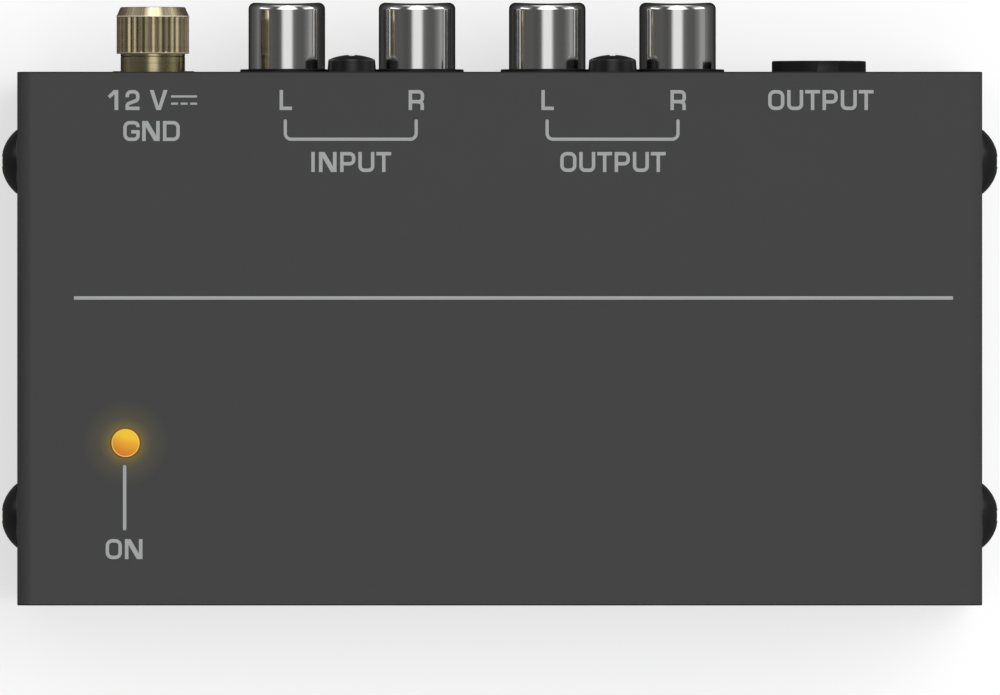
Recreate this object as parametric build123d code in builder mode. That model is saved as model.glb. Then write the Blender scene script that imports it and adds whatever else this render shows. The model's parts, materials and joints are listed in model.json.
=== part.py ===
from build123d import *
from math import pi
import os

# Phono preamplifier in a folded sheet-metal case, in millimetres.
# X runs to the right, the front is towards -Y, the connectors are towards +Y and Z is up.
# The origin is on the table, under the middle of the whole object.

os.makedirs("parts", exist_ok=True)

# ---------------------------------------------------------------- sizes: case
case_width = 104.0
case_depth = 57.5
case_height = 30.0
sheet = 1.0
bend_inside = 0.6
side_gap = 0.2
top_gap = 0.2
panel_inset = 0.2
hem_gap = 0.3
cover_corner = 1.0
tab_reach = 14.6
tab_height = 16.0
tab_flat = 0.5
relief_gap = 1.0
foot_height = 2.0
foot_diameter = 9.0
foot_bevel = 0.6
foot_inset_x = 9.0
foot_inset_y = 8.0

# ---------------------------------------------------------------- sizes: screws
thread_diameter = 3.0
thread_gap = 0.03
screw_clearance = 0.4
side_screw_inset = 9.6
side_screw_length = 5.0
truss_diameter = 6.9
truss_height = 1.95
truss_rim = 0.3
truss_recess_across = 2.4
truss_recess_wing = 1.1
pan_diameter = 5.3
pan_shoulder_diameter = 5.06
pan_shoulder = 1.65
pan_height = 2.15
pan_recess_across = 2.8
pan_recess_wing = 0.6
recess_depth = 1.3
recess_floor = 0.9
phono_screw_length = 8.0
board_screw_length = 4.0
collar_diameter = 4.8
collar_depth = 1.2

# ---------------------------------------------------------------- sizes: circuit board
standoff_height = 3.0
standoff_width = 5.5
spigot_diameter = 4.2
board_thickness = 1.6
board_side_gap = 2.0
board_front_gap = 1.5
board_rear_gap = 1.0
board_corner = 1.5
lead_reach = 1.2
lead_gap = 0.1
press_gap = 0.02
socket_axis_height = 9.0

# ---------------------------------------------------------------- sizes: rear panel
# Shares of the width that the connectors leave free: left of the power socket, of the phono
# sockets and of the quarter-inch socket. The rest of it is at the right end.
power_gap_share = 0.3843
bank_gap_share = 0.1852
jack_gap_share = 0.0717

# ---------------------------------------------------------------- sizes: phono sockets
phono_pitch = 14.1
barrel_diameter = 8.3
barrel_reach = 7.7
barrel_wall = 0.9
barrel_rim = 0.6
barrel_dip = 0.2
barrel_root_diameter = 7.9
barrel_sunk = 3.0
boss_diameter = 10.1
boss_proud = 0.4
window_gap = 0.2
block_side = 0.6
block_depth = 11.0
block_above_axis = 7.2
block_edge = 0.5
phono_screw_rise = 4.0
insulator_recess = 0.5
insulator_mouth = 3.7
contact_bore = 3.3
contact_wall = 0.45
contact_set_back = 0.6
contact_bore_depth = 15.0
tail_width = 1.2
tail_sheet = 0.5

# ---------------------------------------------------------------- sizes: power socket
power_width = 9.0
power_height = 11.0
power_depth = 14.4
power_proud = 0.2
power_corner = 0.15
power_axis_height = 6.5
power_bore = 6.4
power_bore_depth = 10.0
power_pin_diameter = 2.1
power_pin_root_diameter = 1.6
power_pin_set_back = 0.8
power_pin_round = 0.5
power_leaf_depth = 6.0
power_leaf_run = 4.5
power_leaf_drop = 1.0

# ---------------------------------------------------------------- sizes: quarter-inch socket
jack_width = 16.0
jack_depth = 27.0
jack_above_axis = 6.0
jack_end_wall = 1.2
snout_diameter = 10.2
snout_reach = 1.3
snout_bevel = 0.3
jack_bore = 6.5
leaf_sheet = 0.4
leaf_width = 1.6
leaf_slot_gap = 0.3
leaf_bend = 0.6
leaf_lift = 1.9
leaf_clear = 0.1
leaf_lead_in = 2.0
leaf_flare = 1.0
tip_spring_depth = 5.0
ring_spring_depth = 12.5
sleeve_spring_depth = 21.5
side_leaf_run = 8.0

# ---------------------------------------------------------------- sizes: ground terminal
ground_height = 22.6
ground_stud_diameter = 4.0
ground_hole_gap = 0.15
ground_collar_diameter = 6.95
ground_collar_reach = 1.71
ground_washer_thickness = 0.3
nut_length = 5.03
nut_bevel_length = 0.95
nut_top_diameter = 7.0
nut_lip_diameter = 7.92
nut_lip = 0.1
knurl_diameter = 7.82
knurl_root_diameter = 7.34
knurl_teeth = 32
knurl_land = 0.5
knurl_flank = 65.0
nut_running_gap = 0.05
stud_recess = 0.4
stud_bevel = 0.4
lug_diameter = 8.4
lug_sheet = 0.8
lug_tail_width = 3.4
lug_tail_end = 0.3
lock_nut_width = 7.0
lock_nut_height = 3.2
stud_tail = 1.0
wire_diameter = 1.4
wire_bend = 3.0
wire_run = 6.5

# ---------------------------------------------------------------- sizes: lamp
led_inset_x = 11.69
led_inset_y = 17.5
led_diameter = 3.1
led_hole_gap = 0.12
led_height = 4.8
led_proud = 0.8
led_flange_diameter = 3.8
led_flange_height = 1.0
led_lead_pitch = 2.54
led_lead_width = 0.5
led_spacer_diameter = 5.0

# ---------------------------------------------------------------- sizes: parts on the circuit board
wire_lead = 0.6
can_neck = 0.4
can_neck_height = 1.6
can_lead_pitch = 2.5
film_length = 7.2
film_thickness = 3.5
film_height = 6.5
film_edge = 0.3
film_lead_pitch = 5.08
chip_length = 9.4
chip_width = 6.4
chip_height = 3.4
chip_lift = 0.5
chip_notch = 0.8
chip_pins_a_side = 4
chip_pin_pitch = 2.54
chip_row_pitch = 7.62
chip_pin_width = 0.5
chip_pin_sheet = 0.3
part_gap = 1.5
chip_row_gap = 8.7
film_row_step = 10.5
can_row_step = 7.5
channel_spacing = 26.0
channel_shift = 6.1
chip_offset = 5.0
film_offset = 10.0
resistor_offset = 3.0
main_can_diameter = 10.0
main_can_height = 16.0
reserve_can_diameter = 8.0
reserve_can_height = 11.5
coupling_can_diameter = 6.3
coupling_can_height = 11.0
resistor_diameter = 2.4
resistor_length = 6.4
resistor_waist = 0.25
resistor_cap = 1.6
resistor_lead_pitch = 10.16
resistor_spacing = 2.6
resistor_margin = 2.4
resistor_rows = 4
regulator_diameter = 4.7
regulator_flat = 1.3
regulator_height = 4.7
regulator_lift = 2.0
regulator_lead_pitch = 1.27
main_can_offset_x = 2.5
main_can_offset_y = 11.7
reserve_can_offset_y = 6.0
standoff_inset_x = 5.0
standoff_inset_y = 4.5
standoff_rear_gap = 5.5

# ---------------------------------------------------------------- places worked out from the sizes
front_y = -(case_depth + barrel_reach) / 2
rear_y = front_y + case_depth
middle_y = (front_y + rear_y) / 2
floor_bottom = foot_height
floor_top = floor_bottom + sheet
cover_top = floor_bottom + case_height
cover_under = cover_top - sheet
cover_hem = floor_bottom + hem_gap
mid_height = (floor_bottom + cover_top) / 2
bend_outside = bend_inside + sheet
cover_inside = case_width / 2 - sheet
chassis_side = cover_inside - side_gap
panel_top = cover_under - top_gap
front_panel_outer = front_y + panel_inset
front_panel_inner = front_panel_outer + sheet
rear_panel_outer = rear_y - panel_inset
rear_panel_inner = rear_panel_outer - sheet
board_bottom = floor_top + standoff_height
board_top = board_bottom + board_thickness
board_front = front_panel_inner + board_front_gap
board_rear = rear_panel_inner - board_rear_gap
board_side = chassis_side - board_side_gap
lead_end = board_bottom - lead_reach
socket_axis = board_top + socket_axis_height
thread_radius = thread_diameter / 2
thread_hole_radius = thread_radius + thread_gap
screw_hole_radius = thread_radius + screw_clearance / 2
side_screw_front = front_y + side_screw_inset
side_screw_rear = rear_y - side_screw_inset
barrel_end = rear_y + barrel_reach
boss_face = rear_y + boss_proud
barrel_back = boss_face - barrel_sunk
block_back = rear_panel_inner - block_depth
block_top = socket_axis + block_above_axis
phono_screw_z = socket_axis + phono_screw_rise
power_axis = board_top + power_axis_height
power_face = rear_y + power_proud
power_back = power_face - power_depth
ground_z = floor_bottom + ground_height
ground_stud_radius = ground_stud_diameter / 2
ground_hole_radius = ground_stud_radius + ground_hole_gap
collar_end = rear_y + ground_collar_reach
nut_seat = collar_end + ground_washer_thickness
nut_end = nut_seat + nut_length
led_x = led_inset_x - case_width / 2
led_y = front_y + led_inset_y
led_top = cover_top + led_proud
led_bottom = led_top - led_height
jack_back = rear_panel_inner - jack_depth
jack_top = socket_axis + jack_above_axis

# The connectors stand side by side along the rear panel.
block_width = phono_pitch + boss_diameter + 2 * block_side
bank_width = 2 * phono_pitch + block_width
free_width = 2 * chassis_side - power_width - bank_width - jack_width
power_x = power_gap_share * free_width + power_width / 2 - chassis_side
bank_x = power_x + power_width / 2 + bank_gap_share * free_width + bank_width / 2
jack_x = bank_x + bank_width / 2 + jack_gap_share * free_width + jack_width / 2
pair_xs = {"input": bank_x - phono_pitch, "output": bank_x + phono_pitch}
socket_xs = {}
for pair_name, pair_x in pair_xs.items():
    socket_xs[pair_name + "_left"] = pair_x - phono_pitch / 2
    socket_xs[pair_name + "_right"] = pair_x + phono_pitch / 2

# Every lead through the circuit board: (x, y, diameter of its hole).
board_holes = []


# ---------------------------------------------------------------- working planes and shared steps
def upright(y):
    """Plane across the case at depth y, seen from the front: right is +X and up is +Z."""
    return Plane.XZ.offset(-y)


def sideways(x):
    """Plane along the case at x, seen from its right side: right is +Y and up is +Z."""
    return Plane.YZ.offset(x)


def level(z):
    """Horizontal plane at height z, seen from above."""
    return Plane.XY.offset(z)


def lathe(origin, direction):
    """Plane for a turned profile: its X is the radius and its Y runs from origin along direction."""
    along = Vector(direction)
    radial = Vector(0, 1, 0) if abs(along.X) > abs(along.Y) + abs(along.Z) else Vector(1, 0, 0)
    return Plane(origin=origin, x_dir=radial, z_dir=radial.cross(along))


def finish(piece, label):
    """Name a finished piece and write it to its own file."""
    piece.part.label = label
    export_step(piece.part, f"parts/{label}.step")


def drop_leads(spots, diameter):
    """Run round leads from the board's top through the board, and note a hole for each."""
    with BuildSketch(level(board_top)) as ends:
        with Locations(*spots):
            Circle(diameter / 2)
    extrude(ends.sketch, amount=lead_end - board_top)
    board_holes.extend((x, y, diameter + 2 * lead_gap) for x, y in spots)


# ---------------------------------------------------------------- case: cover
with BuildPart() as top_cover:
    with BuildSketch(upright(front_y)) as cover_outside:
        with Locations((0, (cover_hem + cover_top) / 2)):
            Rectangle(case_width, cover_top - cover_hem)
        fillet(cover_outside.vertices().group_by(Axis.Y)[-1], bend_outside)
    extrude(amount=-case_depth)
    with BuildSketch(upright(front_y)) as cover_hollow:
        with Locations((0, (cover_hem + cover_under) / 2)):
            Rectangle(2 * cover_inside, cover_under - cover_hem)
        fillet(cover_hollow.vertices().group_by(Axis.Y)[-1], bend_inside)
    extrude(amount=-case_depth, mode=Mode.SUBTRACT)
    wall_corners = top_cover.edges().filter_by(Axis.X).group_by(Axis.Z)[0]
    fillet(wall_corners, cover_corner)
    with BuildSketch(sideways(0)):
        with Locations((side_screw_front, mid_height), (side_screw_rear, mid_height)):
            Circle(screw_hole_radius)
    extrude(amount=case_width / 2, both=True, mode=Mode.SUBTRACT)
    with BuildSketch(level(cover_top)):
        with Locations((led_x, led_y)):
            Circle(led_diameter / 2 + led_hole_gap)
    extrude(amount=-sheet, mode=Mode.SUBTRACT)
finish(top_cover, "top_cover")

# ---------------------------------------------------------------- case: chassis
standoff_spots = [
    (standoff_inset_x - board_side, board_front + standoff_inset_y),
    (board_side - standoff_inset_x, board_front + standoff_inset_y),
    (standoff_inset_x - board_side, power_back - standoff_rear_gap),
    (jack_x - jack_width / 2 - standoff_rear_gap, power_back - standoff_rear_gap),
]

with BuildPart() as bottom_chassis:
    # The right front quarter is folded first, then mirrored to the left and to the rear.
    with BuildSketch(sideways(0)) as quarter_outside:
        with Locations((front_panel_outer, floor_bottom)):
            Rectangle(
                middle_y - front_panel_outer,
                panel_top - floor_bottom,
                align=(Align.MIN, Align.MIN),
            )
        outer_fold = quarter_outside.vertices().group_by(Axis.Y)[0].sort_by(Axis.X)[0]
        fillet(outer_fold, bend_outside)
    extrude(amount=chassis_side)
    with BuildSketch(sideways(0)) as quarter_hollow:
        with Locations((front_panel_inner, floor_top)):
            Rectangle(
                middle_y - front_panel_inner,
                panel_top - floor_top,
                align=(Align.MIN, Align.MIN),
            )
        inner_fold = quarter_hollow.vertices().group_by(Axis.Y)[0].sort_by(Axis.X)[0]
        fillet(inner_fold, bend_inside)
    extrude(amount=chassis_side, mode=Mode.SUBTRACT)
    # The panel's end is cut back for the tab, with a relief notch above and below it.
    with BuildSketch(upright(front_panel_outer)):
        with Locations((chassis_side, mid_height)):
            Rectangle(
                bend_outside + tab_flat,
                tab_height + 2 * relief_gap,
                align=(Align.MAX, Align.CENTER),
            )
    extrude(amount=-sheet, mode=Mode.SUBTRACT)
    # The tab turns the corner and lies along the cover's wall.
    with BuildSketch(level(mid_height - tab_height / 2)) as tab_outside:
        with Locations((chassis_side, front_panel_outer)):
            Rectangle(bend_outside + tab_flat, tab_reach, align=(Align.MAX, Align.MIN))
        tab_fold = tab_outside.vertices().group_by(Axis.Y)[0].sort_by(Axis.X)[-1]
        fillet(tab_fold, bend_outside)
    extrude(amount=tab_height)
    with BuildSketch(level(mid_height - tab_height / 2)) as tab_hollow:
        with Locations((chassis_side - sheet, front_panel_inner)):
            Rectangle(bend_inside + tab_flat, tab_reach, align=(Align.MAX, Align.MIN))
        tab_inner_fold = tab_hollow.vertices().group_by(Axis.Y)[0].sort_by(Axis.X)[-1]
        fillet(tab_inner_fold, bend_inside)
    extrude(amount=tab_height, mode=Mode.SUBTRACT)
    # The screw hole is drawn inwards into a threaded collar.
    with BuildSketch(sideways(chassis_side - sheet)):
        with Locations((side_screw_front, mid_height)):
            Circle(collar_diameter / 2)
    extrude(amount=-collar_depth)
    with BuildSketch(sideways(chassis_side)):
        with Locations((side_screw_front, mid_height)):
            Circle(thread_hole_radius)
    extrude(amount=-(sheet + collar_depth), mode=Mode.SUBTRACT)
    mirror(about=Plane.YZ)
    mirror(about=upright(middle_y))
    # The rear panel is punched for each connector and for the screws beside the phono sockets.
    with BuildSketch(upright(rear_panel_outer)):
        with Locations(*[(x, socket_axis) for x in socket_xs.values()]):
            Circle(boss_diameter / 2 + window_gap)
        with Locations(*[(x, phono_screw_z) for x in pair_xs.values()]):
            Circle(screw_hole_radius)
        with Locations((jack_x, socket_axis)):
            Circle(snout_diameter / 2 + window_gap)
        with Locations((power_x, ground_z)):
            Circle(ground_hole_radius)
        with Locations((power_x, board_top + power_height / 2)):
            Rectangle(power_width + 2 * window_gap, power_height + 2 * window_gap)
    extrude(amount=sheet, mode=Mode.SUBTRACT)
    with BuildSketch(level(floor_bottom)):
        with Locations(*standoff_spots):
            Circle(spigot_diameter / 2 + press_gap)
    extrude(amount=sheet, mode=Mode.SUBTRACT)
finish(bottom_chassis, "bottom_chassis")

# ---------------------------------------------------------------- case: feet
foot_x = case_width / 2 - foot_inset_x
for side, side_sign in (("left", -1), ("right", 1)):
    for end, foot_y in (("front", front_y + foot_inset_y), ("rear", rear_y - foot_inset_y)):
        with BuildPart() as rubber_foot:
            with BuildSketch(level(0)):
                with Locations((side_sign * foot_x, foot_y)):
                    Circle(foot_diameter / 2)
            extrude(amount=foot_height)
            chamfer(rubber_foot.edges().group_by(Axis.Z)[0], foot_bevel)
        finish(rubber_foot, f"rubber_foot_{end}_{side}")


# ---------------------------------------------------------------- screws
def cross_recess(top, across, wing):
    """Cross-shaped hole for a driver under the plane top: its wings run in along a cone."""
    with BuildPart() as recess:
        with BuildSketch(top):
            Rectangle(across, wing)
            Rectangle(wing, across)
        extrude(amount=-recess_depth)
        with Locations(top):
            Cone(
                recess_floor / 2,
                across / 2,
                recess_depth,
                align=(Align.CENTER, Align.CENTER, Align.MAX),
                mode=Mode.INTERSECT,
            )
    return recess.part


def make_screws(label, seats, direction, length, head):
    """Screws with a domed head, given as (edge radius, shoulder radius, shoulder height, height,
    width across the driver recess, width of its wings)."""
    edge_radius, shoulder_radius, shoulder, height, across, wing = head
    with BuildPart() as screws:
        for seat in seats:
            plane = lathe(seat, direction)
            with BuildSketch(plane):
                with BuildLine():
                    Polyline(
                        (0, height),
                        (0, -length),
                        (thread_radius, -length),
                        (thread_radius, 0),
                        (edge_radius, 0),
                        (shoulder_radius, shoulder),
                    )
                    TangentArc((0, height), (shoulder_radius, shoulder), tangent=(1, 0))
                make_face()
            revolve(axis=Axis(plane.origin, plane.y_dir))
            head_top = Plane(plane.origin + plane.y_dir * height, plane.x_dir, plane.y_dir)
            add(cross_recess(head_top, across, wing), mode=Mode.SUBTRACT)
    finish(screws, label)


truss_head = (
    truss_diameter / 2,
    truss_diameter / 2,
    truss_rim,
    truss_height,
    truss_recess_across,
    truss_recess_wing,
)
pan_head = (
    pan_diameter / 2,
    pan_shoulder_diameter / 2,
    pan_shoulder,
    pan_height,
    pan_recess_across,
    pan_recess_wing,
)

for side, side_sign in (("left", -1), ("right", 1)):
    for end, screw_y in (("front", side_screw_front), ("rear", side_screw_rear)):
        seat = (side_sign * case_width / 2, screw_y, mid_height)
        label = f"cover_screw_{end}_{side}"
        make_screws(label, [seat], (side_sign, 0, 0), side_screw_length, truss_head)

for pair_name, pair_x in pair_xs.items():
    seat = (pair_x, rear_panel_outer, phono_screw_z)
    make_screws(f"phono_{pair_name}_screw", [seat], (0, 1, 0), phono_screw_length, pan_head)

board_screw_seats = [(x, y, board_top) for x, y in standoff_spots]
make_screws("board_screws", board_screw_seats, (0, 0, 1), board_screw_length, pan_head)

with BuildPart() as board_standoffs:
    with BuildSketch(level(floor_top)):
        with Locations(*standoff_spots):
            RegularPolygon(standoff_width / 2, 6, major_radius=False)
    extrude(amount=standoff_height)
    with BuildSketch(level(floor_bottom)):
        with Locations(*standoff_spots):
            Circle(spigot_diameter / 2)
    extrude(amount=sheet)
    with BuildSketch(level(floor_bottom)):
        with Locations(*standoff_spots):
            Circle(thread_hole_radius)
    extrude(amount=sheet + standoff_height, mode=Mode.SUBTRACT)
finish(board_standoffs, "board_standoffs")

# ---------------------------------------------------------------- ground terminal
outwards = (0, 1, 0)


def ground_plane(y):
    """Lathe plane on the ground terminal's axis, starting at depth y."""
    return lathe((power_x, y, ground_z), outwards)


def spin(plane):
    """Turn the pending profile about the plane's own axis line."""
    revolve(axis=Axis(plane.origin, plane.y_dir))


stud_front = rear_panel_inner - lug_sheet - lock_nut_height - stud_tail
stud_end = nut_end - stud_recess

with BuildPart() as ground_post:
    with BuildSketch(ground_plane(stud_front)):
        with BuildLine():
            Polyline(
                (0, 0),
                (ground_stud_radius - stud_bevel, 0),
                (ground_stud_radius, stud_bevel),
                (ground_stud_radius, rear_panel_outer - stud_front),
                (ground_collar_diameter / 2, rear_panel_outer - stud_front),
                (ground_collar_diameter / 2, collar_end - stud_front),
                (ground_stud_radius, collar_end - stud_front),
                (ground_stud_radius, stud_end - stud_front - stud_bevel),
                (ground_stud_radius - stud_bevel, stud_end - stud_front),
                (0, stud_end - stud_front),
                close=True,
            )
        make_face()
    spin(ground_plane(stud_front))
finish(ground_post, "ground_post")

with BuildPart() as ground_washer:
    with BuildSketch(upright(collar_end)):
        with Locations((power_x, ground_z)):
            Circle(ground_collar_diameter / 2)
            Circle(ground_hole_radius, mode=Mode.SUBTRACT)
    extrude(amount=-ground_washer_thickness)
finish(ground_washer, "ground_washer")

with BuildPart() as ground_thumb_nut:
    with BuildSketch(ground_plane(nut_seat)):
        with BuildLine():
            Polyline(
                (ground_stud_radius + nut_running_gap, 0),
                (nut_lip_diameter / 2, 0),
                (nut_lip_diameter / 2, nut_length - nut_bevel_length),
                (nut_top_diameter / 2, nut_length),
                (ground_stud_radius + nut_running_gap, nut_length),
                close=True,
            )
        make_face()
    spin(ground_plane(nut_seat))
    # Straight knurling between the two thin lips: an outer ring is cut to leave the teeth.
    knurl_length = nut_length - nut_bevel_length - 2 * nut_lip
    with BuildSketch(upright(nut_seat + nut_lip)):
        with Locations((power_x, ground_z)):
            Circle(nut_lip_diameter / 2)
            Circle(knurl_root_diameter / 2, mode=Mode.SUBTRACT)
            with PolarLocations((knurl_root_diameter + knurl_diameter) / 4, knurl_teeth):
                Trapezoid(
                    knurl_land * pi * knurl_diameter / knurl_teeth,
                    (knurl_diameter - knurl_root_diameter) / 2 + 2 * press_gap,
                    left_side_angle=knurl_flank,
                    rotation=-90,
                    mode=Mode.SUBTRACT,
                )
    extrude(amount=-knurl_length, mode=Mode.SUBTRACT)
finish(ground_thumb_nut, "ground_thumb_nut")

# The lug's tail and its wire lie over the gap between the power socket and the phono sockets.
wire_x = power_x + power_width / 2 + bank_gap_share * free_width / 2
lug_tail_reach = wire_x + wire_diameter / 2 + lug_tail_end - power_x
with BuildPart() as ground_lug:
    with BuildSketch(upright(rear_panel_inner)):
        with Locations((power_x, ground_z)):
            Circle(lug_diameter / 2)
            Rectangle(lug_tail_reach, lug_tail_width, align=(Align.MIN, Align.CENTER))
            Circle(ground_hole_radius, mode=Mode.SUBTRACT)
    extrude(amount=lug_sheet)
finish(ground_lug, "ground_lug")

with BuildPart() as ground_lock_nut:
    with BuildSketch(upright(rear_panel_inner - lug_sheet)):
        with Locations((power_x, ground_z)):
            RegularPolygon(lock_nut_width / 2, 6, major_radius=False)
            Circle(ground_stud_radius + thread_gap, mode=Mode.SUBTRACT)
    extrude(amount=lock_nut_height)
finish(ground_lock_nut, "ground_lock_nut")

wire_top = (wire_x, rear_panel_inner - lug_sheet, ground_z)
wire_corner = (wire_x, rear_panel_inner - lug_sheet - wire_run, ground_z)
wire_foot = (wire_x, rear_panel_inner - lug_sheet - wire_run, board_top)
with BuildPart() as ground_wire:
    with BuildLine():
        FilletPolyline(wire_top, wire_corner, wire_foot, radius=wire_bend)
    with BuildSketch(Plane(origin=wire_top, x_dir=(1, 0, 0), z_dir=(0, -1, 0))):
        Circle(wire_diameter / 2)
    sweep()
finish(ground_wire, "ground_wire")

# ---------------------------------------------------------------- power socket
power_bore_floor = power_face - power_bore_depth
power_touch_y = power_face - power_leaf_depth
power_touch_z = power_axis - power_bore / 2 - leaf_sheet / 2 - leaf_clear
leaf_slot = leaf_width + 2 * leaf_slot_gap
with BuildPart() as power_socket:
    with BuildSketch(upright(power_face)):
        with Locations((power_x, board_top + power_height / 2)):
            Rectangle(power_width, power_height)
    extrude(amount=power_depth)
    chamfer(power_socket.faces().sort_by(Axis.Y)[-1].edges(), power_corner)
    with BuildSketch(upright(power_face)):
        with Locations((power_x, power_axis)):
            Circle(power_bore / 2)
    extrude(amount=power_bore_depth, mode=Mode.SUBTRACT)
    with BuildSketch(upright(power_bore_floor)):
        with Locations((power_x, power_axis)):
            Circle(power_pin_root_diameter / 2 + press_gap)
    extrude(amount=power_bore_floor - power_back, mode=Mode.SUBTRACT)
    # Slot from the underside into the bore for the leaf spring that presses on the plug.
    with BuildSketch(level(board_top)):
        with Locations((power_x, power_touch_y + leaf_lead_in + leaf_slot_gap)):
            power_slot_length = power_leaf_run + leaf_lead_in + 2 * leaf_slot_gap + leaf_sheet / 2
            Rectangle(leaf_slot, power_slot_length, align=(Align.CENTER, Align.MAX))
    extrude(amount=power_axis_height, mode=Mode.SUBTRACT)
finish(power_socket, "power_socket")

with BuildPart() as power_spring:
    with BuildSketch(sideways(power_x)):
        with BuildLine():
            FilletPolyline(
                (power_touch_y + leaf_lead_in, power_touch_z - leaf_flare),
                (power_touch_y, power_touch_z),
                (power_touch_y - leaf_lead_in, power_touch_z - power_leaf_drop),
                (power_touch_y - power_leaf_run, power_touch_z - power_leaf_drop),
                (power_touch_y - power_leaf_run, lead_end),
                radius=leaf_bend,
            )
        trace(line_width=leaf_sheet)
    extrude(amount=leaf_width / 2, both=True)
board_holes.append((power_x, power_touch_y - power_leaf_run, leaf_width + 2 * lead_gap))
finish(power_spring, "power_spring")

power_pin_end = power_face - power_pin_set_back
power_pin_back = power_back - tail_sheet
with BuildPart() as power_pin:
    pin_plane = lathe((power_x, power_pin_back, power_axis), outwards)
    with BuildSketch(pin_plane) as pin_section:
        with BuildLine():
            Polyline(
                (0, 0),
                (power_pin_root_diameter / 2, 0),
                (power_pin_root_diameter / 2, power_bore_floor - power_pin_back),
                (power_pin_diameter / 2, power_bore_floor - power_pin_back),
                (power_pin_diameter / 2, power_pin_end - power_pin_back),
                (0, power_pin_end - power_pin_back),
                close=True,
            )
        make_face()
        tip_corner = pin_section.vertices().group_by(Axis.Y)[-1].sort_by(Axis.X)[-1]
        fillet(tip_corner, power_pin_round)
    spin(pin_plane)
    with BuildSketch(upright(power_back)):
        with Locations((power_x, power_axis)):
            Rectangle(tail_width, power_axis - lead_end, align=(Align.CENTER, Align.MAX))
    extrude(amount=tail_sheet)
board_holes.append((power_x, power_back - tail_sheet / 2, tail_width + 2 * lead_gap))
finish(power_pin, "power_pin")


# ---------------------------------------------------------------- phono sockets
def make_phono_block(label, pair_x):
    """Moulded body of a pair of phono sockets, with a round boss through the panel for each."""
    bosses = [(pair_x - phono_pitch / 2, socket_axis), (pair_x + phono_pitch / 2, socket_axis)]
    with BuildPart() as block:
        with BuildSketch(upright(rear_panel_inner)):
            with Locations((pair_x, (board_top + block_top) / 2)):
                Rectangle(block_width, block_top - board_top)
        extrude(amount=block_depth)
        chamfer(block.edges().filter_by(Axis.Y).group_by(Axis.Z)[-1], block_edge)
        with BuildSketch(upright(rear_panel_inner)):
            with Locations(*bosses):
                Circle(boss_diameter / 2)
        extrude(amount=rear_panel_inner - boss_face)
        with BuildSketch(upright(boss_face)):
            with Locations(*bosses):
                Circle(barrel_root_diameter / 2 + press_gap)
        extrude(amount=barrel_sunk, mode=Mode.SUBTRACT)
        with BuildSketch(upright(barrel_back)):
            with Locations(*bosses):
                Circle(contact_bore / 2 + contact_wall + press_gap)
        extrude(amount=barrel_back - block_back, mode=Mode.SUBTRACT)
        with BuildSketch(upright(rear_panel_inner)):
            with Locations((pair_x, phono_screw_z)):
                Circle(thread_hole_radius)
        extrude(amount=phono_screw_length, mode=Mode.SUBTRACT)
    finish(block, label)


def make_phono_shell(label, x):
    """Plated barrel: its root sits in the boss and its rounded rim dips a little in the middle."""
    half = barrel_diameter / 2
    dip_radius = (half**2 + barrel_dip**2) / (2 * barrel_dip)
    with BuildPart() as shell:
        with BuildSketch(upright(boss_face)):
            with Locations((x, socket_axis)):
                Circle(half)
        extrude(amount=boss_face - barrel_end)
        with BuildSketch(level(socket_axis - barrel_diameter)):
            with Locations((x, barrel_end - barrel_dip + dip_radius)):
                Circle(dip_radius)
        extrude(amount=2 * barrel_diameter, mode=Mode.SUBTRACT)
        rim = shell.faces().filter_by(GeomType.CYLINDER).sort_by(Axis.Y)[-1].edges()
        fillet(rim, barrel_rim)
        with BuildSketch(upright(boss_face)):
            with Locations((x, socket_axis)):
                Circle(barrel_root_diameter / 2)
        extrude(amount=barrel_sunk)
        with BuildSketch(upright(barrel_back)):
            with Locations((x, socket_axis)):
                Circle(half - barrel_wall)
        extrude(amount=barrel_back - barrel_end, mode=Mode.SUBTRACT)
    finish(shell, label)


def make_phono_insulator(label, x):
    """Coloured bush inside the barrel, with a mouth that guides the plug's pin to the contact."""
    bush_length = barrel_end - barrel_dip - insulator_recess - barrel_back
    contact_front = bush_length - contact_set_back
    plane = lathe((x, barrel_back, socket_axis), outwards)
    with BuildPart() as bush:
        with BuildSketch(plane):
            with BuildLine():
                Polyline(
                    (contact_bore / 2 + contact_wall + press_gap, 0),
                    (barrel_diameter / 2 - barrel_wall - press_gap, 0),
                    (barrel_diameter / 2 - barrel_wall - press_gap, bush_length),
                    (insulator_mouth / 2, bush_length),
                    (insulator_mouth / 2, contact_front),
                    (contact_bore / 2 + contact_wall + press_gap, contact_front),
                    close=True,
                )
            make_face()
        spin(plane)
    finish(bush, label)


def make_phono_contact(label, x):
    """Centre contact: a tube for the plug's pin, closed at the back, with a tail to the board."""
    contact_back = block_back - tail_sheet
    contact_front = barrel_end - barrel_dip - insulator_recess - contact_set_back
    length = contact_front - contact_back
    radius = contact_bore / 2 + contact_wall
    plane = lathe((x, contact_back, socket_axis), outwards)
    with BuildPart() as contact:
        with BuildSketch(plane):
            with BuildLine():
                Polyline(
                    (0, 0),
                    (radius, 0),
                    (radius, length),
                    (contact_bore / 2, length),
                    (contact_bore / 2, length - contact_bore_depth),
                    (0, length - contact_bore_depth),
                    close=True,
                )
            make_face()
        spin(plane)
        with BuildSketch(upright(block_back)):
            with Locations((x, socket_axis)):
                Rectangle(tail_width, socket_axis - lead_end, align=(Align.CENTER, Align.MAX))
        extrude(amount=tail_sheet)
    board_holes.append((x, block_back - tail_sheet / 2, tail_width + 2 * lead_gap))
    finish(contact, label)


for pair_name, pair_x in pair_xs.items():
    make_phono_block(f"phono_{pair_name}_block", pair_x)

for socket_name, socket_x in socket_xs.items():
    make_phono_shell(f"phono_{socket_name}_barrel", socket_x)
    make_phono_insulator(f"phono_{socket_name}_insulator", socket_x)
    make_phono_contact(f"phono_{socket_name}_contact", socket_x)

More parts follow.
